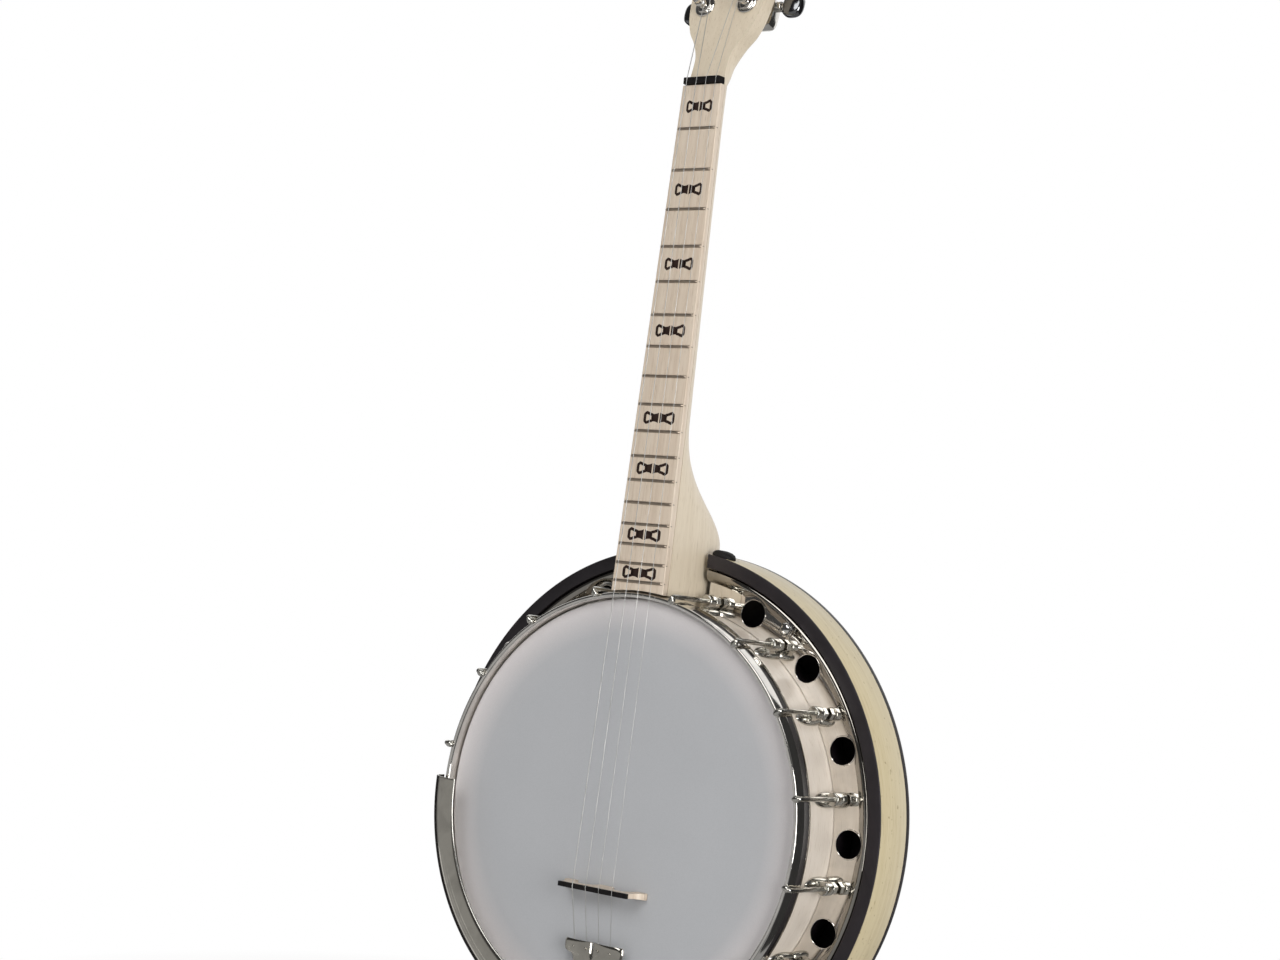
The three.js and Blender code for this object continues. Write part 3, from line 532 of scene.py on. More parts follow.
def finish_surface(tree, shader, colour, roughness, bumps, strength, distance):
    """Links the shader's colour and roughness, and gives it bumps of a height in metres."""
    tree.links.new(colour, shader.inputs["Base Color"])
    tree.links.new(roughness, shader.inputs["Roughness"])
    bump = add_node(tree, "Bump", Height=bumps, Strength=strength, Distance=distance)
    tree.links.new(bump.outputs[0], shader.inputs["Normal"])


def round_coordinates(tree, radius):
    """Coordinates bent round the pot (outwards, through the depth, round it), and the distance outwards."""
    shifted = add_node(
        tree, "VectorMath", {"operation": "SUBTRACT"},
        _0=object_coordinates(tree), _1=tuple(POT_CENTRE),
    )
    parts = add_node(tree, "SeparateXYZ", _0=shifted.outputs[0])
    x, y, z = parts.outputs
    angle = add_node(tree, "Math", {"operation": "ARCTAN2"}, _0=x, _1=z).outputs[0]
    around = add_node(tree, "Math", {"operation": "MULTIPLY"}, _0=angle, _1=radius).outputs[0]
    flat = add_node(tree, "CombineXYZ", _0=x, _2=z).outputs[0]
    outwards = add_node(tree, "VectorMath", {"operation": "LENGTH"}, _0=flat).outputs["Value"]
    return add_node(tree, "CombineXYZ", _0=outwards, _1=y, _2=around).outputs[0], outwards


def maple(name, light, middle, dark, streak, bent_radius=None, specks=0.0):
    """Clear satin maple. The grain runs along Z, or round the pot where bent_radius is given."""
    material, tree, shader = new_material(name, coat_weight=0.25, coat_roughness=0.3)
    coordinates = round_coordinates(tree, bent_radius)[0] if bent_radius else object_coordinates(tree)
    broad = stretched_noise(tree, coordinates, (46, 46, 2.6), 2.0, 0.6)
    fine = stretched_noise(tree, coordinates, (520, 520, 9), 5.0, 0.3)
    figure = stretched_noise(tree, coordinates, (130, 130, 5), 3.0, 1.4)
    pores = stretched_noise(tree, coordinates, (1500, 1500, 95), 2.0)
    board = ramp(tree, broad, [(0.32, middle), (0.68, light)])
    growth = ramp(tree, figure, [(0.36, dark), (0.5, middle), (0.62, light)])
    streaks = ramp(tree, fine, [(0.34, dark), (0.55, light)])
    colour = mix_colours(tree, 0.4, board, growth)
    colour = mix_colours(tree, streak, colour, streaks)
    flecks = ramp(tree, pores, [(0.30, (0.62, 0.55, 0.45)), (0.40, WHITE)])
    colour = mix_colours(tree, 0.5, colour, flecks, "MULTIPLY")
    if specks:
        spots = stretched_noise(tree, coordinates, (420, 420, 300), 1.0)
        marks = ramp(tree, spots, [(0.255, (0.45, 0.38, 0.28)), (0.285, WHITE)])
        colour = mix_colours(tree, specks, colour, marks, "MULTIPLY")
    gloss = map_range(tree, fine, 0.3, 0.7, 0.5, 0.38)
    finish_surface(tree, shader, colour, gloss, fine, 0.12, 0.0002)
    return material


def polished_metal(name, colour, roughness, tarnish=0.85, brushed=(900, 260, 260)):
    """Plated metal: cloudy differences in gloss, a few darker patches, and faint wiping marks."""
    material, tree, shader = new_material(name, metallic=1.0)
    coordinates = object_coordinates(tree)
    clouds = stretched_noise(tree, coordinates, 70, 3.0, 0.4)
    wiping = stretched_noise(tree, coordinates, brushed)
    dull = tuple(channel * tarnish for channel in colour)
    patches = ramp(tree, clouds, [(0.35, dull), (0.6, colour)])
    gloss = map_range(tree, clouds, 0.3, 0.7, roughness * 1.4, roughness * 0.8)
    finish_surface(tree, shader, patches, gloss, wiping, 0.02, 0.0001)
    return material


def flange_plating_with_painted_lip_shade():
    """The flange's bright flat, and its crease and lip darkened with painted shade that stands in for their
    dark reflections.
    """
    material = polished_metal("flange_nickel", (0.83, 0.80, 0.755), 0.045)
    tree = material.node_tree
    base_colour = tree.nodes["Principled BSDF"].inputs["Base Color"]
    plated = base_colour.links[0].from_socket
    coordinates = round_coordinates(tree, RIM_OUTER * MM)[0]
    depth = add_node(tree, "SeparateXYZ", _0=coordinates).outputs[1]
    flat = map_range(tree, depth, (FLANGE_Y - 1.4) * MM, (FLANGE_Y - 0.5) * MM, 0.0, 1.0)
    # painted shade: the crease and the lip are darkened to stand in for the dark reflections there
    painted_lip_shade = ramp(tree, flat, [(0.0, (0.42, 0.41, 0.39)), (0.8, (0.30, 0.29, 0.28)), (1.0, WHITE)])
    tree.links.new(mix_colours(tree, 1.0, plated, painted_lip_shade, "MULTIPLY"), base_colour)
    return material


def black_finish(name, colour, roughness, grain, bump, sheen=0.5):
    """Black plastic, composite or lacquer with a fine texture. sheen is its surface gloss's strength."""
    material, tree, shader = new_material(name, specular_ior_level=sheen)
    coordinates = object_coordinates(tree)
    texture = stretched_noise(tree, coordinates, grain, 4.0)
    wear = stretched_noise(tree, coordinates, 60)
    lighter = tuple(channel * 1.4 + 0.002 for channel in colour)
    tone = ramp(tree, wear, [(0.4, colour), (0.7, lighter)])
    gloss = map_range(tree, texture, 0.3, 0.7, roughness * 0.85, roughness * 1.2)
    finish_surface(tree, shader, tone, gloss, texture, bump, 0.0002)
    return material


def frosted_film():
    """The drum head: a grey-white film with a sprayed frosting, lighter over the rim's edge, partly for the
    maple seen through the film and partly painted light that lifts the hoop's shadow.
    """
    material, tree, shader = new_material("frosted_film", coat_weight=0.15, coat_roughness=0.4)
    outwards = round_coordinates(tree, RIM_OUTER * MM)[1]
    cloud = stretched_noise(tree, object_coordinates(tree), 18)
    spray = stretched_noise(tree, object_coordinates(tree), 2600, 2.0)
    radius = map_range(tree, outwards, 0.1, COLLAR_OUTER * MM, 0.0, 1.0)
    # lighter towards the edge: partly the maple seen through the film, partly painted light that lifts the
    # hoop's shadow
    tone = ramp(tree, radius, [
        (0.0, (0.455, 0.462, 0.476)), (0.38, (0.465, 0.468, 0.48)), (0.72, (0.59, 0.565, 0.565)),
        (0.97, (0.68, 0.645, 0.64)),
    ])
    mottling = ramp(tree, cloud, [(0.3, grey(0.965)), (0.7, WHITE)])
    dots = ramp(tree, spray, [(0.3, grey(0.93)), (0.6, WHITE)])
    colour = mix_colours(tree, 1.0, tone, mottling, "MULTIPLY")
    colour = mix_colours(tree, 1.0, colour, dots, "MULTIPLY")
    gloss = map_range(tree, spray, 0.3, 0.7, 0.42, 0.58)
    finish_surface(tree, shader, colour, gloss, spray, 0.1, 0.0001)
    return material


# each look: how its material is made, the record's slot, the material's name, and the rest of its values
LOOK_TABLE = {
    "neck": (maple, "maple", "neck_maple",
        (0.69, 0.60, 0.465), (0.65, 0.555, 0.42), (0.59, 0.495, 0.365), 0.24),
    "board": (maple, "maple", "board_maple",
        (0.70, 0.60, 0.485), (0.64, 0.525, 0.41), (0.54, 0.42, 0.31), 0.4),
    # rim: paler than the neck's maple, partly its own wood and partly painted light for its wall in the
    # recess in front of the flange
    "rim": (maple, "maple", "rim_maple",
        (0.73, 0.655, 0.57), (0.70, 0.62, 0.53), (0.66, 0.58, 0.49), 0.2, RIM_OUTER * MM),
    "resonator": (maple, "resonator_maple", "bowl_maple",
        (0.585, 0.50, 0.315), (0.54, 0.45, 0.27), (0.48, 0.39, 0.215), 0.2, RESONATOR_OUTER * MM, 0.7),
    "resonator_back": (maple, "resonator_maple", "back_maple",
        (0.62, 0.53, 0.345), (0.56, 0.465, 0.29), (0.47, 0.375, 0.21), 0.3, None, 0.6),
    "nickel": (polished_metal, "nickel", "nickel_plate", (0.80, 0.775, 0.73), 0.07),
    # hook: a darker copy of the nickel, painted shade that dims the reflections of the hooks, their nuts and
    # shoes, and the armrest's inner bead
    "hook": (polished_metal, "nickel", "hook_nickel", (0.56, 0.545, 0.50), 0.18),
    "flange": (flange_plating_with_painted_lip_shade, "nickel"),
    "chrome": (polished_metal, "chrome", "chrome_plate", (0.50, 0.475, 0.42), 0.09),
    "dark_chrome": (polished_metal, "dark_chrome", "dark_chrome_plate", (0.20, 0.205, 0.21), 0.1),
    "steel": (polished_metal, "steel", "drawn_steel", (0.78, 0.77, 0.74), 0.28, 0.9),
    # string and fret_wire: darker copies of the steel, the frets' one brownish, painted shade that dims their
    # reflections
    "string": (polished_metal, "steel", "string_wire", (0.46, 0.455, 0.44), 0.42, 0.9),
    "fret_wire": (polished_metal, "steel", "fret_wire", (0.42, 0.35, 0.28), 0.36, 0.75, (260, 900, 900)),
    "composite": (black_finish, "black_composite", "black_composite",
        (0.006, 0.005, 0.005), 0.55, 900, 0.15, 0.15),
    "inlay": (black_finish, "black_composite", "inlay_brown", (0.022, 0.011, 0.008), 0.45, 1200, 0.1, 0.2),
    "lacquer": (black_finish, "black_lacquer", "black_lacquer", (0.009, 0.006, 0.008), 0.42, 600, 0.05),
    "bumper": (black_finish, "black_lacquer", "bumper_rubber", (0.006, 0.005, 0.005), 0.6, 900, 0.15, 0.2),
    "film": (frosted_film, "frosted_head"),
}
LOOKS = {look: (make(*values), slot) for look, (make, slot, *values) in LOOK_TABLE.items()}


# --- pieces


def set_smooth(mesh):
    for face in mesh.polygons:
        face.use_smooth = True
    mesh.set_sharp_from_angle(angle=radians(CREASE))


def closed_mesh(name, shape, matrix, edge=0.0, edge_steps=2):
    """A mesh whose faces all point outwards. edge rounds its sharp edges, in millimetres."""
    vertices, faces = shape
    mesh = bpy.data.meshes.new(name)
    mesh.from_pydata([matrix @ Vector(vertex) for vertex in vertices], [], faces)
    work = bmesh.new()
    work.from_mesh(mesh)
    bmesh.ops.remove_doubles(work, verts=work.verts, dist=1e-6)
    bmesh.ops.recalc_face_normals(work, faces=work.faces)
    if edge:
        sharp = [e for e in work.edges if e.calc_face_angle(0) > radians(CREASE)]
        bmesh.ops.bevel(
            work, geom=sharp, offset=edge * MM, offset_type="OFFSET", segments=edge_steps, profile=0.5,
            affect="EDGES", clamp_overlap=True,
        )
    work.to_mesh(mesh)
    work.free()
    return mesh


def piece(name, shape, body, look, replaces=(), at=Matrix.Identity(4), edge=0.0, edge_steps=2):
    """A piece drawn in millimetres. It rides on a body, if one is given, and stands for CAD nodes."""
    mesh = closed_mesh(name, shape, POT_FRAME @ at, edge, edge_steps)
    set_smooth(mesh)
    obj = link(name, mesh)
    material, slot = LOOKS[look]
    mesh.materials.append(material)
    if edge:
        normals = obj.modifiers.new("normals", "WEIGHTED_NORMAL")
        normals.keep_sharp = True
    if body:
        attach(obj, body)
    if replaces:
        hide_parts(*replaces)
    return obj


def carve(obj, *shapes):
    """Cuts closed shapes, drawn in the pot's frame, out of a piece, one after another."""
    for shape in shapes:
        cutter = link("cutter", closed_mesh("cutter", shape, POT_FRAME))
        modifier = obj.modifiers.new("cut", "BOOLEAN")
        modifier.operation = "DIFFERENCE"
        modifier.solver = "EXACT"
        modifier.object = cutter
        bpy.context.view_layer.update()
        evaluated = obj.evaluated_get(bpy.context.evaluated_depsgraph_get())
        result = bpy.data.meshes.new_from_object(evaluated)
        obj.modifiers.remove(modifier)
        obj.data = result
        bpy.data.objects.remove(cutter)
    set_smooth(obj.data)


# --- neck


def board_y(z):
    return BOARD_Y_AT_NUT - BOARD_SLOPE * (NUT_Z - z)


def board_half(z):
    share = (NUT_Z - z) / (NUT_Z - BOARD_END_Z)
    return BOARD_HALF_AT_NUT + (BOARD_HALF_AT_POT - BOARD_HALF_AT_NUT) * share


def fret_z(number):
    return NUT_Z - SCALE_LENGTH * (1 - 2 ** (-number / 12))


def on_board(z):
    """Puts a piece drawn on a flat board (y is the depth into it) at a place along the fingerboard."""
    return shift(0, board_y(z), z) @ Matrix.Rotation(-atan(BOARD_SLOPE), 4, "X")


def half_section(front_y, front_z, tilt, half, depth, squareness, seam=0.0):
    """A cross-section of the neck: flat in front and rounded behind, starting at the seam's depth."""
    first = asin((seam / depth) ** (squareness / 2))
    points = []
    for angle in spread(first, pi - first, 44):
        x, back = superellipse_point(half, depth, squareness, angle)
        points.append((x, front_y + back * cos(tilt), front_z - back * sin(tilt)))
    return points


def neck_rows():
    """[z, depth, squareness] up the neck, from inside the pot to the nut."""
    heel_depth = 74.6
    rows = [[130, heel_depth, 3.4], [160, heel_depth, 3.4]]
    steps = 28
    heel = curve([(178, heel_depth), (200, 72), (212, 21.5), (252, 21)], steps)
    squarenesses = spread(3.4, 2.2, steps)
    rows += [[z, depth, squareness] for (z, depth), squareness in zip(heel, squarenesses)]
    neck = [[252, 21, 2.2], [300, 20, 2.15], [375, 18.6, 2.1], [450, 17.4, 2.1], [NUT_Z, 17.3, 2.2]]
    rows += smooth_rows(neck, 8)[1:]
    return rows


SHELF_HALF = 15.0                   # the step behind the nut, where the headstock's face begins
SHELF_DEPTH = 12.8
SHELF_SQUARENESS = 1.7
HEADSTOCK_OUTLINE = [               # [distance up the face, half width, squareness]
    [3, 13.6, 2.8], [13, 13.5, 4], [19, 14.6, 6], [27, 18.2, 8], [36, 24, 10], [50, 28.4, 10], [74, 30.4, 10],
    [98, 31.4, 10], [116, 31.2, 10], [126, 29.2, 10], [133, 25.4, 10], [137.5, 20, 10], [139.4, 15.5, 10],
    [140, 12, 10],
]


def board_section(z, depth, squareness):
    """The fingerboard's share of the neck's section: a flat front, two sides and the seam behind."""
    last = asin((BOARD_THICKNESS / depth) ** (squareness / 2))
    side = [superellipse_point(board_half(z), depth, squareness, angle) for angle in spread(0, last, 6)]
    outline = side + [(-x, back) for x, back in reversed(side)]
    return [(x, board_y(z) + back, z) for x, back in outline]


def build_neck():
    rows = neck_rows()
    sections = [
        half_section(board_y(z), z, 0, board_half(z), depth, squareness, BOARD_THICKNESS + 0.08)
        for z, depth, squareness in rows
    ]
    face_y = HEADSTOCK.translation.y
    sections.append(half_section(face_y, NUT_Z + 0.1, 0, SHELF_HALF, SHELF_DEPTH, SHELF_SQUARENESS))
    for along, half, squareness in smooth_rows(HEADSTOCK_OUTLINE, 1.6):
        front = HEADSTOCK @ Vector((0, 0, along))
        sections.append(half_section(front.y, front.z, HEADSTOCK_TILT, half, HEADSTOCK_THICKNESS, squareness))
    pot_space = [
        rod(HOOP_OUTER + NECK_AIR, -30, 9.65, RING_STEPS),
        rod(RIM_OUTER + NECK_AIR, 9, 90, RING_STEPS),
    ]
    posts = [moved(rod(POST_HOLE, -4, 18), HEADSTOCK @ shift(x, 0, up)) for x, up, side in tuner_places()]
    neck = piece("neck_wood", loft(sections), "pot", "neck", ["neck"])
    carve(neck, *pot_space, merged(*posts))

    board = loft([board_section(*row) for row in rows])
    carve(piece("fingerboard", board, "pot", "board", edge=0.7, edge_steps=3), *pot_space)


def build_frets():
    width, height, bevel = 2.0, 1.0, 0.8
    crown = [(width / 2 * cos(angle), height * sin(angle)) for angle in spread(0, pi, 10)]
    for number in range(1, FRET_COUNT + 1):
        z = fret_z(number)
        half = board_half(z) - 1.1
        rings = []
        for x, share in ((-half, 0.25), (-half + bevel, 1), (half - bevel, 1), (half, 0.25)):
            ring = [(x, -rise * share - 0.02, across) for across, rise in crown]
            rings.append(ring + [(x, 0.5, -width / 2), (x, 0.5, width / 2)])
        side = board_half(z) + 0.04
        tang = block((-side, side), (0.3, 1.9), (-0.3, 0.3))
        piece(f"fret_{number:02d}", merged(loft(rings), tang), "pot", "fret_wire", at=on_board(z))


def build_inlays():
    """Bow-tie markers, let into the board half-way between frets: two solid waists with outlined wings."""
    wing = (
        curve([(4.6, 2.0), (6.8, 2.1), (8.8, 3.5)], 8)
        + curve([(10.2, 2.2), (10.2, 0), (10.2, -2.2)], 8)
        + curve([(8.8, -3.5), (6.8, -2.1), (4.6, -2.0)], 8)
    )
    waist = curve([(0.45, 3.5), (2.0, 2.4), (4.9, 2.4)], 8)
    waist += [(x, -z) for x, z in reversed(waist)]
    for number in (1, 3, 5, 7, 10, 12, 15, 17):
        z = (fret_z(number) + fret_z(number - 1)) / 2
        half = merged(ribbon(wing, 1.85, -0.03, 0.3), prism(waist, -0.03, 0.3))
        shape = merged(half, moved(half, Matrix.Rotation(pi, 4, "Y")))
        widen = Matrix.Scale(board_half(z) / 17, 4, (1, 0, 0))
        piece(f"inlay_{number:02d}", shape, "pot", "inlay", at=on_board(z) @ widen)


def notched_top(half, top, bottom, slots, width, depth):
    """A rectangle in the x-y plane whose front edge has a rounded notch at each slot."""
    outline = [(-half, bottom), (-half, top)]
    for x in slots:
        outline += [(x - width, top)]
        outline += curve([(x - width / 2, top + 0.1), (x - width / 2, top + depth), (x, top + depth)], 3)
        outline += curve([(x, top + depth), (x + width / 2, top + depth), (x + width / 2, top + 0.1)], 3)[1:]
        outline += [(x + width, top)]
    return outline + [(half, top), (half, bottom)]


def build_nut():
    low, high = pot_box("nut")
    outline = notched_top(high.x - 0.8, low.y, high.y, STRINGS_AT_NUT, 1.0, 1.1)
    outline[0], outline[-1] = (-high.x, high.y), (high.x, high.y)
    piece("string_nut", prism(outline, low.z, high.z, "xy"), "pot", "composite", ["nut"], edge=0.22)


# --- pot


def build_pot():
    rim = rounded([
        (RIM_INNER, 3.9), (RIM_OUTER - 2, 0.95), (RIM_OUTER, 1.95), (RIM_OUTER, RIM_BACK),
        (RIM_INNER, RIM_BACK),
    ], 1.0)
    piece("rim_shell", turned(rim), "pot", "rim", ["rim"])
    # A black sleeve round the rim behind the flange: painted shade, where little light reaches through the
    # sound holes.
    painted_shade_band = rectangle(RIM_OUTER + 0.02, 45.2, RIM_OUTER + 0.3, 65.6)
    piece("rim_painted_shade_band", turned(painted_shade_band, 120), "pot", "lacquer")

    skin = [(radius, 0.02) for radius in (0, 40, 80, 110, 128)]
    skin += rounded([
        (134, 0.02), (136.4, 0.2), (COLLAR_OUTER, 2.2), (COLLAR_OUTER, 9.2), (136.5, 9.2), (136.4, 2.4),
    ], 0.9, closed=False)
    skin += [(135.2, 0.62), (128, 0.6), (80, 0.6), (0, 0.6)]
    piece("drum_head", turned(skin), "pot", "film", ["head"])

    flesh_hoop = rounded(rectangle(137.35, 4.2, 139.7, 8.1), 0.5)
    piece("flesh_hoop_wire", turned(flesh_hoop), "pot", "nickel", ["flesh_hoop"])

    hoop = rounded([
        (HOOP_INNER, -5.9), (HOOP_INNER + 0.9, -6.8), (HOOP_OUTER - 1.7, -6.8), (HOOP_OUTER - 1.2, -6.2),
        (HOOP_OUTER - 0.35, 0), (HOOP_OUTER, 5.4), (HOOP_OUTER, 7.2), (HOOP_OUTER - 0.4, 7.6),
        (140.05, 7.6), (140.05, 3.8), (HOOP_INNER, 3.8),
    ], 0.5, 3)
    piece("tension_hoop_ring", turned(hoop, 320), "pot", "nickel", ["tension_hoop"])

    end = 121.3
    washer = turned(rounded(rectangle(5, 113, 8.2, 114.2), 0.3), 40)
    nut = merged(prism(polygon(8.5, 6), 114.3, end), washer)
    parts = [moved(rod(4.8, -end, end), ALONG_Z), moved(nut, ALONG_Z), moved(nut, AGAINST_Z)]
    piece("coordinator_rod_bar", merged(*parts), "pot", "steel", ["coordinator_rod"], shift(0, 38), 0.3)


# --- flange


def crease_radius(angle):
    """The flange's crease swings outwards past each sound hole."""
    turns = [remainder(angle - radians(hole), 2 * pi) for hole in SOUND_HOLE_ANGLES]
    off = min(turns, key=abs)
    reach = SOUND_HOLE_RADIUS + 1.9
    across = SOUND_HOLE_CIRCLE * sin(off)
    if abs(across) >= reach:
        return FLANGE_CREASE
    past_hole = SOUND_HOLE_CIRCLE * cos(off) + sqrt(reach**2 - across**2)
    softness = 1.2
    return FLANGE_CREASE + softness * log(1 + exp((past_hole - FLANGE_CREASE) / softness))


def flange_section(angle):
    """[radius, y] round the flange's section: the flat, the crease and the bowed lip, then back behind."""
    crease = crease_radius(angle)
    inner = RIM_OUTER + NECK_AIR
    crest = FLANGE_LIP - 2.4
    rise = FLANGE_Y - FLANGE_LIP_Y
    curl = spread(0, pi / 2, 6)
    slopes = [(crest - (crest - crease) * cos(t), FLANGE_Y - rise * sin(t), t) for t in curl]
    for t in curl[1:]:
        slopes.append((crest + 2.3 * sin(t), FLANGE_LIP_Y + 1.4 * (1 - cos(t)), pi / 2 + t))
    front = [(r, y) for r, y, t in slopes]
    behind = [(r + 0.9 * cos(t), y + 0.9 * sin(t)) for r, y, t in slopes[1:-2]]
    back = FLANGE_Y + FLANGE_THICKNESS
    flat = [(inner, FLANGE_Y), (146, FLANGE_Y), (crease - 0.5, FLANGE_Y)]
    rear = [(crease + FLANGE_THICKNESS, back), (146, back), (inner, back)]
    return flat + front + list(reversed(behind)) + rear


def build_flange():
    rings = []
    for angle in circle_angles(480):
        rings.append([on_circle(radius, y, angle) for radius, y in flange_section(angle)])
    flange = piece("flange_plate", loft(rings, closed_path=True), "pot", "flange", ["flange"])
    places = [around_pot(a) @ shift(z=SOUND_HOLE_CIRCLE) for a in SOUND_HOLE_ANGLES]
    holes = [moved(rod(SOUND_HOLE_RADIUS, 35, 50, 64), at) for at in places]
    screw = moved(rod(THUMBSCREW_HOLE, 30, 55, 24), shift(z=THUMBSCREW_CIRCLE))
    screws = [moved(screw, around_pot(angle)) for angle in THUMBSCREW_ANGLES]
    slot = block((-HEEL_SLOT_HALF, HEEL_SLOT_HALF), (30, 55), (100, 180))
    carve(flange, merged(*holes, *screws, slot))
    bead = [(SOUND_HOLE_RADIUS + 0.25 + 0.42 * u, FLANGE_Y + 0.42 * v) for u, v in polygon(1, 10)]
    for k, at in enumerate(places, 1):
        piece(f"sound_hole_bead_{k:02d}", turned(bead, 64), "pot", "flange", at=at)


# --- resonator


def build_resonator():
    front = RESONATOR_FRONT
    wall = rounded([
        (RESONATOR_INNER + 0.4, front + 1.3), (RESONATOR_OUTER, front + 1.3), (RESONATOR_OUTER, 69.75),
        (169.1, 69.75), (169.1, 70.85), (RESONATOR_INNER + 0.4, 70.85),
    ], 0.15, 2)
    piece("resonator_side", slotted_ring(wall), "resonator", "resonator", ["resonator_wall"])
    # The binding's front face is the resonator's black edge; its thin sleeve down the inside of the wall is
    # painted shade for the closed resonator's dark inside.
    binding = rounded([
        (RESONATOR_INNER + 0.05, front), (RESONATOR_OUTER, front), (RESONATOR_OUTER, front + 1.25),
        (RESONATOR_INNER + 0.35, front + 1.25), (RESONATOR_INNER + 0.35, 70.8),
        (RESONATOR_INNER + 0.05, 70.8),
    ], 0.55, 3)
    piece("resonator_front_binding", slotted_ring(binding), "resonator", "lacquer")

    edge = rounded([
        (169.15, 69.8), (RESONATOR_OUTER, 69.8), (RESONATOR_OUTER, 73.8), (171.8, 75.0), (169.15, 76.0),
    ], 0.35, 3)
    piece("resonator_back_binding", turned(edge), "resonator", "lacquer")
    panel = [
        (0, 71.6), (169.1, 71.6), (169.1, 76.0), (165, 77.1), (158, 77.75), (148, 78.1), (120, 78.2),
        (0, 78.2),
    ]
    piece("resonator_back_panel", turned(panel), "resonator", "resonator_back", ["resonator_back"])
    # A black lining on the inside of the back: painted shade for the closed resonator's dark inside.
    piece("resonator_back_painted_shade_lining", rod(168.9, 71.2, 71.55, 96), "resonator", "lacquer")

    lug, thumbscrew = lug_shape(), thumbscrew_shape()
    for i, angle in enumerate(THUMBSCREW_ANGLES, 1):
        at = around_pot(angle)
        piece(f"lug_plate_{i}", lug, "resonator", "steel", [f"resonator_lug_{i}"], at, 0.4)
        body = f"thumbscrew_{i}"
        piece(f"thumbscrew_knob_{i}", thumbscrew, body, "nickel", [body], at @ shift(z=THUMBSCREW_CIRCLE))

    for i, side in enumerate((1, -1), 1):
        rings = []
        for height, share in ((0, 1.0), (1.6, 1.0), (3.0, 0.86), (4.0, 0.58), (4.35, 0.2)):
            outline = superellipse(8 * share, 6 * (0.35 + 0.65 * share), 2.6, 40, (0, 43.6))
            rings.append([(x, y, RESONATOR_OUTER + height) for x, y in outline])
        at = around_pot(side * 10.6)
        piece(f"edge_bumper_{i}", loft(rings), "resonator", "bumper", [f"edge_guard_{i}"], at)


def lug_shape():
    """A lug inside the resonator's wall: a foot, an ear, and a boss that the thumbscrew screws into."""
    low, high = RESONATOR_INNER - 3.6, RESONATOR_INNER - 0.1
    foot = block((-9, 9), (47, 60), (low, high))
    ear = prism(rounded(rectangle(-6, 152.6, 6, low + 0.2), 3), 50, 56)
    boss = turned(rectangle(THUMBSCREW_HOLE, 49, 4.6, 57), 32)
    return merged(foot, ear, moved(boss, shift(z=THUMBSCREW_CIRCLE)))


def thumbscrew_shape():
    grip = knurled_grip(4.6, 28, 0.86, (28.0, 28.9, 32.9, 33.8))
    dome = [(0, 27.6), (1.8, 27.65), (3.0, 27.9), (3.7, 28.4), (3.7, 29.5), (0, 29.5)]
    collar = [(0, 33), (3, 33), (3, 35.6), (2.6, 36), (0, 36)]
    ends = [turned(profile, 32) for profile in (dome, collar)]
    return merged(grip, *ends, threaded_shaft(36, 62, 1.7))


# --- hooks, nuts and shoes


def build_hooks():
    bend = [(138.5, -8.3), (140.0, -8.75), (HOOK_CIRCLE, -8.9), (HOOK_CIRCLE, 30)]
    bend = rounded(bend, 3.0, 8, closed=False)
    thread = [(HOOK_CIRCLE, 30.5 + 0.41 * k) for k in range(31)]
    path = [(0, y, radius) for radius, y in bend + thread]
    radii = [0.9, 1.35] + [HOOK_WIRE] * (len(bend) - 2)
    radii += [HOOK_WIRE if k % 2 else HOOK_WIRE - 0.22 for k in range(len(thread))]
    tongue_rows = [(-7.0, 0.9), (-7.4, 1.0), (-8.5, 1.0), (-9.4, 0.9), (-10.0, 0.65), (-10.25, 0.3)]
    tongue = cushion(2.3, 2.6, 2.2, 28, (0, 141.1), tongue_rows)
    hook = merged(tube(path, radii, 14), tongue)
    nut = moved(merged(
        prism(polygon(4.2, 6), 37.1, 41.4),
        turned(rounded(rectangle(1.7, 36.1, 4.3, 37.0), 0.2, 2), 32),
    ), shift(z=HOOK_CIRCLE))
    shoe = shoe_shape()
    for k, angle in enumerate(HOOK_ANGLES, 1):
        at = around_pot(angle)
        number = f"{k:02d}"
        piece(f"hook_{number}", hook, "pot", "hook", [f"hook_bracket_{number}"], at)
        piece(f"hook_nut_{number}", nut, "pot", "hook", at=at, edge=0.35)
        piece(f"shoe_{number}", shoe, "pot", "hook", at=at)


def shoe_shape():
    """An almond-shaped foot on the rim's wall that swells into the lug round the hook."""
    wall = RIM_OUTER + 0.05
    rows = smooth_rows([
        [20, 0.4, 0.5], [21.5, 2.0, 1.5], [25, 3.8, 2.6], [30, 4.8, 3.6], [36, 5.0, 4.2], [41, 4.6, 4.2],
        [43.1, 4.2, 4.0],
    ], 0.9)
    rings = []
    for y, half, stand in rows:
        rings.append([
            (half * cos(angle), y, wall + stand * abs(sin(angle)) ** 0.8) for angle in spread(0, pi, 16)
        ])
    lug = moved(rod(4.35, 29.2, 36, 32, 0.9, 4), shift(z=HOOK_CIRCLE))
    web = prism(rounded(rectangle(-3.4, wall, 3.4, HOOK_CIRCLE), 0.4), 29.8, 35.4)
    return merged(loft(rings), lug, web)


# --- bridge, tailpiece and strings


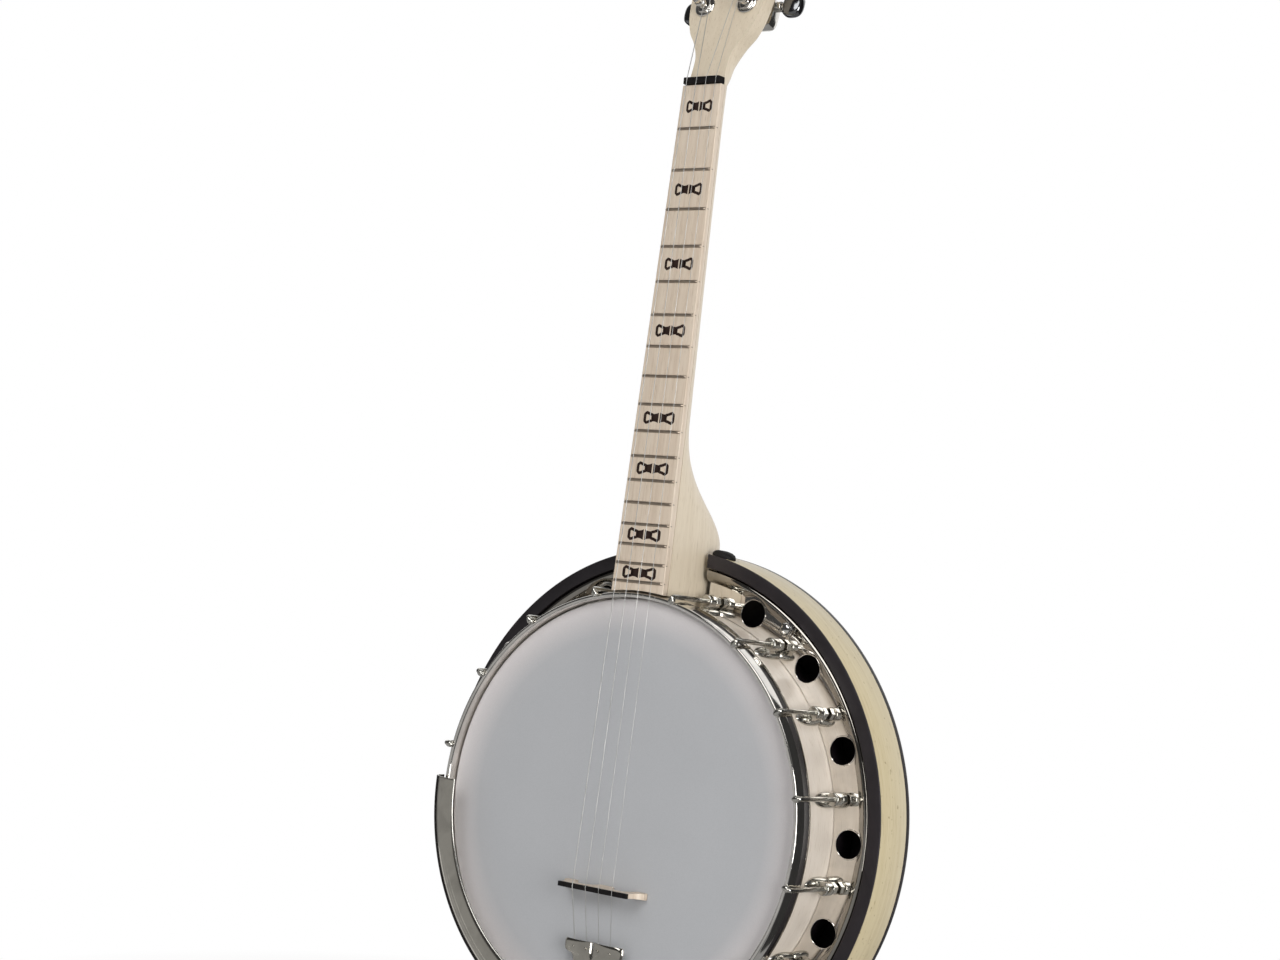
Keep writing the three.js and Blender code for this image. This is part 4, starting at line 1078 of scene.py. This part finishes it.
def build_bridge():
    cap_low, cap_high = pot_box("bridge_cap")
    shoulder = cap_high.y + 0.05
    outline = [(-32, -0.1), *curve([(-32, -4), (-28.2, -5), (-27.4, -9)], 6), (-27.4, shoulder)]
    outline += [(-x, y) for x, y in reversed(outline)]
    for middle in (14.5, -14.5):
        outline += curve([(middle + 9, -0.1), (middle + 7, -9), (middle, -9)], 8)
        outline += curve([(middle, -9), (middle - 7, -9), (middle - 9, -0.1)], 8)[1:]
    vertices, faces = prism(outline, -2.2, 2.2, "xy")
    tapered = [(x, y, BRIDGE_Z + z * (1 + 0.42 * y / BRIDGE_HEIGHT)) for x, y, z in vertices]
    piece("bridge_body", (tapered, faces), "pot", "board", ["bridge"], edge=0.35)
    cap = notched_top(cap_high.x, cap_low.y, cap_high.y, STRINGS_AT_BRIDGE, 1.1, 1.0)
    top = prism(cap, cap_low.z - 0.25, cap_high.z + 0.25, "xy")
    piece("bridge_top", top, "pot", "composite", ["bridge_cap"], edge=0.15)


def tailpiece_plate():
    """A stamped plate: two bowed lobes side by side at the top, then a waisted body with a rib."""
    rows = [  # z, half width, height of the lobes, height of the rib
        [-83.5, 21.8, 1.9, 0], [-83.8, 22.4, 2.0, 0], [-85.4, 23.1, 2.0, 0], [-88, 23.2, 2.0, 0],
        [-90.4, 22.9, 2.0, 0], [-91.6, 21.4, 1.7, 0.1], [-92.4, 17.6, 1.2, 0.3], [-94, 16.0, 0.7, 0.6],
        [-99, 15.2, 0.4, 0.9], [-105, 13.0, 0.2, 1.1], [-112, 10.6, 0.1, 1.2], [-125, 9.8, 0, 1.2],
        [-138, 9.2, 0, 1.0], [-144, 9.0, 0, 0.6],
    ]
    base, thickness = -8.15, 1.1
    rings = []
    for z, half, lobes, rib in rows:
        front = []
        for share in spread(-1, 1, 40):
            bow = lobes * abs(sin(pi * share)) ** 0.7
            ridge = rib * exp(-((share / 0.35) ** 2))
            rolled = 0.9 * max(0.0, abs(share) - 0.93) / 0.07
            front.append((half * share, base - bow - ridge + rolled, z))
        behind = [(x * 0.985, y + thickness, z) for x, y, z in reversed(front)]
        rings.append(front + behind)
    return loft(rings)


def build_tailpiece():
    hinge = Matrix.Translation(TAIL_HINGE) @ ALONG_X
    plate = piece("tailpiece_cover", tailpiece_plate(), "tailpiece", "chrome", ["tailpiece"])
    slit = prism(rounded(rectangle(-0.6, -80, 0.6, -93), 0.5), -20, 0)
    carve(plate, merged(moved(rod(2.4, -20, 0, 28), shift(z=TAIL_SCREW_Z)), slit))
    chamfer = prism([(-1.5, -9.25), (-0.75, -8.5), (-1.5, -8.4)], -90.5, -84.0, "xy")
    piece("tailpiece_slit_edge", chamfer, "tailpiece", "chrome", edge=0.05)
    barrel = turned(rounded(rectangle(1.6, -9, 3, 9), 0.4), 40)
    piece("tailpiece_barrel", barrel, "tailpiece", "chrome", at=hinge)
    for i, x in enumerate(STRINGS_AT_TAIL, 1):
        pin = rod(0.9, -10.9, -8.2, 24, 0.3)
        piece(f"string_pin_{i}", pin, "tailpiece", "chrome", at=shift(x, 0.6, -88.2))

    below = pot_box("tailpiece_bracket")[0].z
    above, metal = -142.8, 2.4
    strap = block((-8, 8), (-3, 34), (above - metal, above))
    foot = block((-8, 8), (18, 34), (above - 1, -RIM_OUTER - 0.1))
    yoke = block((-12, 12), (-3, 2), (below, above))
    ear = rounded(rectangle(-12.8, below, 2, above), 2.2)
    ears = [prism(ear, x, x + metal, "yz") for x in (-12, 12 - metal)]
    pivot = moved(rod(1.2, -12.6, 12.6, 24), hinge)
    bolt = moved(prism(polygon(4.4, 6), 0, 3.2), shift(0, 26, above - metal) @ AGAINST_Z)
    bracket = merged(strap, foot, yoke, *ears, pivot, bolt)
    piece("tail_bracket", bracket, "pot", "nickel", ["tailpiece_bracket"], edge=0.4)

    grip = knurled_grip(4.4, 24, 0.88, (-17.4, -16.7, -13.9, -13.2))
    screw = merged(grip, threaded_shaft(-13.2, -7.15, 1.72))
    body = "tailpiece_screw"
    piece("tail_adjusting_screw", screw, body, "nickel", [body], shift(z=TAIL_SCREW_Z))


def string_path(i):
    """The string's centreline from the tailpiece's pin over the bridge and the nut to its post."""
    radius = STRING_RADII[i]
    x_post, up, side = tuner_places()[i]
    tail = Vector((STRINGS_AT_TAIL[i], -9.3, -83.4))
    inside = Vector((STRINGS_AT_TAIL[i], -9.0, -86.6))
    bridge = Vector((STRINGS_AT_BRIDGE[i], -BRIDGE_HEIGHT + 0.45 - radius, BRIDGE_Z))
    nut = Vector((STRINGS_AT_NUT[i], 2.35 - radius, NUT_Z + 1.2))
    nut_back = Vector((STRINGS_AT_NUT[i], 2.6 - radius, NUT_Z + 4.6))
    post = HEADSTOCK @ Vector((x_post - side * (3.05 + radius), -6.6, up))
    points = [inside]
    spans = ((tail, bridge, TAIL_SPAN_STEPS), (bridge, nut, 40), (nut, nut_back, 1), (nut_back, post, 6))
    for start, end, pieces in spans:
        points += [start.lerp(end, k / pieces) for k in range(pieces)]
    return points + [post]


def build_strings():
    for i, radius in enumerate(STRING_RADII):
        path = string_path(i)
        wire = piece(f"string_wire_{i + 1}", tube(path, radius, 10), None, "string", [f"string_{i + 1}"])
        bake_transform(wire)


# --- armrest


def armrest_arc(inset):
    """The armrest's cross-section, as (radius, y), moved inwards from its outer face."""
    return [
        (130 + (18 - inset) * cos(angle), -3.2 - (12.4 - inset) * sin(angle))
        for angle in spread(radians(105), radians(-10), 26)
    ]


def build_armrest():
    section = armrest_arc(0) + list(reversed(armrest_arc(1.1)))
    angles = spread(radians(ARMREST_START), radians(ARMREST_END), 72)
    rings = [[on_circle(radius, y, angle) for radius, y in section] for angle in angles]
    piece("armrest_shell", loft(rings), "pot", "chrome", ["armrest"], edge=0.35)
    # The beads along the armrest's edges: the outer one is black lacquer, painted shade for the dark outline
    # the rolled edge reflects, and the inner one takes the darker hook nickel to dim its highlight.
    bead = 0.75
    edges = armrest_arc(bead)
    for name, look, (radius, y) in (("inner", "hook", edges[0]), ("outer", "lacquer", edges[-1])):
        line = [on_circle(radius, y, angle) for angle in angles]
        piece(f"armrest_{name}_bead", tube(line, bead, 12), "pot", look)

    strap = prism(rectangle(-6, 0.6, 6, 24), 146.2, 147.6, "xy")
    foot = prism(rectangle(-6, RIM_OUTER + 0.1, 6, 147.6), 21.6, 24)
    bolt = moved(prism(polygon(3.4, 6), 24, 27), shift(z=141.5))
    clamp = merged(strap, foot, bolt)
    for i, angle in enumerate((-95, -140), 1):
        piece(f"armrest_strap_{i}", clamp, "pot", "nickel", [f"armrest_clamp_{i}"], around_pot(angle), 0.35)


# --- tuners


def tuner_places():
    """(x, distance up the headstock, side) of each post, in string order."""
    lower, upper = POST_HEIGHTS
    return [(-POST_X, lower, -1), (-POST_X, upper, -1), (POST_X, upper, 1), (POST_X, lower, 1)]


def build_tuners():
    for i, (x, up, side) in enumerate(tuner_places(), 1):
        at = HEADSTOCK @ shift(x, 0, up) @ Matrix.Diagonal((side, 1, 1, 1))
        build_tuner_case(i, at)
        build_tuner_knob(i, at)
        build_tuner_post(i, at)


def build_tuner_case(i, at):
    rows = ((0.1, 1.0), (6.2, 1.0), (8.6, 0.965), (10.0, 0.86), (10.6, 0.7))
    rows = [(HEADSTOCK_THICKNESS + height, share) for height, share in rows]
    shell = cushion(9.2, 10.8, 5, 56, (2.2, 1.6), rows)
    boss = rounded([(0, 7), (3.6, 7), (3.6, 14.2), (2.5, 14.2)], 0.5, 3, closed=False)
    boss = turned(boss + [(2.5, 7.2), (0, 7.2)], 32)
    case = merged(shell, moved(boss, WORM_AXIS))
    piece(f"tuner_case_{i}", case, "pot", "nickel", [f"tuner_housing_{i}"], at)
    screw = turned([(0, 24.2), (1.9, 24.3), (1.9, 24.9), (1.4, 25.1), (0, 25.15)], 20)
    piece(f"tuner_screw_{i}", screw, "pot", "steel", at=at @ shift(1.2, 0, -5.2))
    washer = rounded([(3.35, -1.15), (6.6, -1.35), (7.5, -0.9), (7.5, -0.1), (3.35, -0.1)], 0.3, 3)
    piece(f"tuner_washer_{i}", turned(washer, 64), "pot", "nickel", at=at)
    collar_rows = ((-1.2, 1.0), (-2.1, 1.0), (-2.4, 0.93))
    collar = loft([[(x, y, z) for x, z in polygon(5.6 * share, 6)] for y, share in collar_rows])
    bush = piece(f"tuner_bushing_{i}", collar, "pot", "nickel", at=at, edge=0.15)
    carve(bush, moved(rod(3.3, -5, 3), at))


def build_tuner_knob(i, at):
    half_rows = ((0.9, 1.0), (1.9, 0.985), (3.1, 0.87), (3.6, 0.74))
    rows = [(WORM_Y - y, share) for y, share in reversed(half_rows)]
    rows += [(WORM_Y + y, share) for y, share in half_rows]
    knob = cushion(7.6, 8.2, 2.7, 40, (BUTTON_X, WORM_OFFSET), rows)
    shaft = rounded([
        (0, -3.8), (2.1, -3.8), (2.1, 12), (2.1, 15), (2.9, 15.4), (2.9, 17.0), (0, 17.4),
    ], 0.3, 3, closed=False)
    body = f"tuner_button_{i}"
    piece(f"tuner_knob_{i}", knob, body, "dark_chrome", [body], at)
    piece(f"tuner_shaft_{i}", turned(shaft, 28), body, "nickel", at=at @ WORM_AXIS)


def build_tuner_post(i, at):
    profile = rounded([
        (0, -12.4), (2.4, -12.4), (3, -11.8), (3, -9.7), (2.5, -9.0), (2.5, -5.4), (3, -4.4), (3, 17.2),
    ], 0.5, 3, closed=False)
    gear = [(4.5, 17.25), (4.5, 21.4), (0, 21.4)]
    body = f"tuner_post_{i}"
    piece(f"tuner_spindle_{i}", turned(profile + gear, 40), body, "nickel", [body], at)
    radius = STRING_RADII[i - 1]
    turns, steps = 3.5, 20
    rise = 2.1 * 0.98 * radius      # from one turn to the next
    coil = []
    for k in range(int(turns * steps) + 1):
        angle = pi + 2 * pi * k / steps
        reach = 2.95 + radius
        coil.append((reach * cos(angle), -6.6 - rise * k / steps, reach * sin(angle)))
    piece(f"string_winding_{i}", tube(coil, radius, 8), body, "steel", at=at)


# --- studio


def emission(name, strength):
    """A white glow."""
    material = bpy.data.materials.new(name)
    material.use_nodes = True
    tree = material.node_tree
    tree.nodes.clear()
    glow = add_node(tree, "Emission", Color=(1, 1, 1, 1), Strength=strength)
    out = tree.nodes.new("ShaderNodeOutputMaterial")
    tree.links.new(glow.outputs[0], out.inputs[0])
    return material


def stage_piece(name, shape, material, seen_by):
    """Part of the studio. seen_by lists the kinds of ray that meet it."""
    vertices, faces = shape
    mesh = bpy.data.meshes.new(name)
    mesh.from_pydata(vertices, [], faces)
    mesh.materials.append(material)
    obj = link(name, mesh)
    for kind in ("camera", "diffuse", "glossy", "transmission", "shadow", "volume_scatter"):
        setattr(obj, f"visible_{kind}", kind in seen_by)
    return obj


def dome_patch(radius, azimuths, elevations, steps=12):
    """Part of a sphere round the pot. Azimuth 0 is straight behind the banjo, and 90 is to its right."""
    vertices, faces = [], []
    for azimuth in spread(*azimuths, steps):
        for elevation in spread(*elevations, steps):
            vertices.append(POT_CENTRE + radius * direction(180 - azimuth, elevation))
    row = steps + 1
    for i in range(steps):
        for j in range(steps):
            corner = i * row + j
            faces.append((corner, corner + 1, corner + row + 1, corner + row))
    return vertices, faces


# what polished metal sees round the banjo: (name, brightness, radius in metres, azimuths, elevations)
REFLECTED_ROOM = [
    ("room", 0.30, 20, (-180, 180), (-90, 90)),
    ("bright_back", 1.05, 19, (-76, 32), (-16, 90)),
    ("bright_left_floor", 0.85, 18, (-125, -50), (-60, -12)),
    ("dark_front", 0.06, 18, (125, 260), (-0.5, 80)),
    ("lit_front_floor", 0.42, 18, (125, 260), (-60, -1.5)),
    ("dark_right_back", 0.035, 17, (30, 100), (-40, 45)),
    ("dark_right", 0.12, 16.5, (92, 140), (-60, 60)),
    ("dark_left", 0.02, 16, (-92, -43), (-45, 12)),
]


LIGHT_DISTANCE = 4


def add_area_light(name, azimuth, elevation, size, power):
    """A soft oblong light that faces the middle of the pot."""
    data = bpy.data.lights.new(name, "AREA")
    data.shape = "RECTANGLE"
    data.size, data.size_y = size
    data.energy = power
    aim(link(name, data), POT_CENTRE + Vector((0, 0, 0.15)), azimuth, elevation, LIGHT_DISTANCE)


def build_world():
    """Pale behind the banjo, greyer in front of it, and darker above and below."""
    world = bpy.data.worlds.new("studio")
    bpy.context.scene.world = world
    world.use_nodes = True
    tree = world.node_tree
    background = tree.nodes["Background"]
    coordinates = add_node(tree, "TexCoord").outputs["Generated"]
    parts = add_node(tree, "SeparateXYZ", _0=coordinates)
    behind = map_range(tree, parts.outputs[1], -0.3, 0.4, 0.45, 0.9)
    height = map_range(tree, parts.outputs[2], -1.0, 1.0, 0.0, 1.0)
    level = ramp(tree, height, [(0.0, grey(0.5)), (0.45, WHITE), (0.9, grey(0.4))])
    tree.links.new(level, background.inputs[0])
    tree.links.new(behind, background.inputs[1])


def floor_material():
    """A pale floor that fades to plain white far from the banjo."""
    material, tree, shader = new_material("floor", roughness=0.8)
    coordinates = object_coordinates(tree)
    grain = stretched_noise(tree, coordinates, 30)
    colour = ramp(tree, grain, [(0.3, grey(0.86)), (0.7, grey(0.9))])
    tree.links.new(colour, shader.inputs["Base Color"])
    distance = add_node(tree, "VectorMath", {"operation": "LENGTH"}, _0=coordinates).outputs["Value"]
    fade = map_range(tree, distance, 0.1, 0.5, 0.3, 1.0)
    glow = add_node(tree, "Emission", Color=(1, 1, 1, 1), Strength=1.0)
    mixed = add_node(tree, "MixShader", _0=fade, _1=shader.outputs[0], _2=glow.outputs[0])
    tree.links.new(mixed.outputs[0], tree.nodes["Material Output"].inputs[0])
    return material


def build_studio():
    bpy.context.scene.view_settings.view_transform = "Standard"
    build_world()
    disc = [(x, y, 0) for x, y in polygon(30, 64)]
    floor = stage_piece("floor", (disc, [tuple(range(64))]), floor_material(), ("camera",))
    floor.location.z = cad_bounds[0][2] - 0.006
    white = emission("backdrop", 1.0)
    stage_piece("backdrop", dome_patch(28, (-180, 180), (-90, 90), 24), white, ("camera",))
    for name, brightness, radius, azimuths, elevations in REFLECTED_ROOM:
        glow = emission(name, brightness)
        stage_piece(name, dome_patch(radius, azimuths, elevations), glow, ("glossy",))
    add_area_light("key", 5, 34, (3.0, 2.0), 66)
    add_area_light("right", 62, 3, (1.6, 2.4), 108)


build_studio()
build_neck()
build_frets()
build_inlays()
build_nut()
build_pot()
build_flange()
build_resonator()
build_hooks()
build_bridge()
build_tailpiece()
build_strings()
build_armrest()
build_tuners()
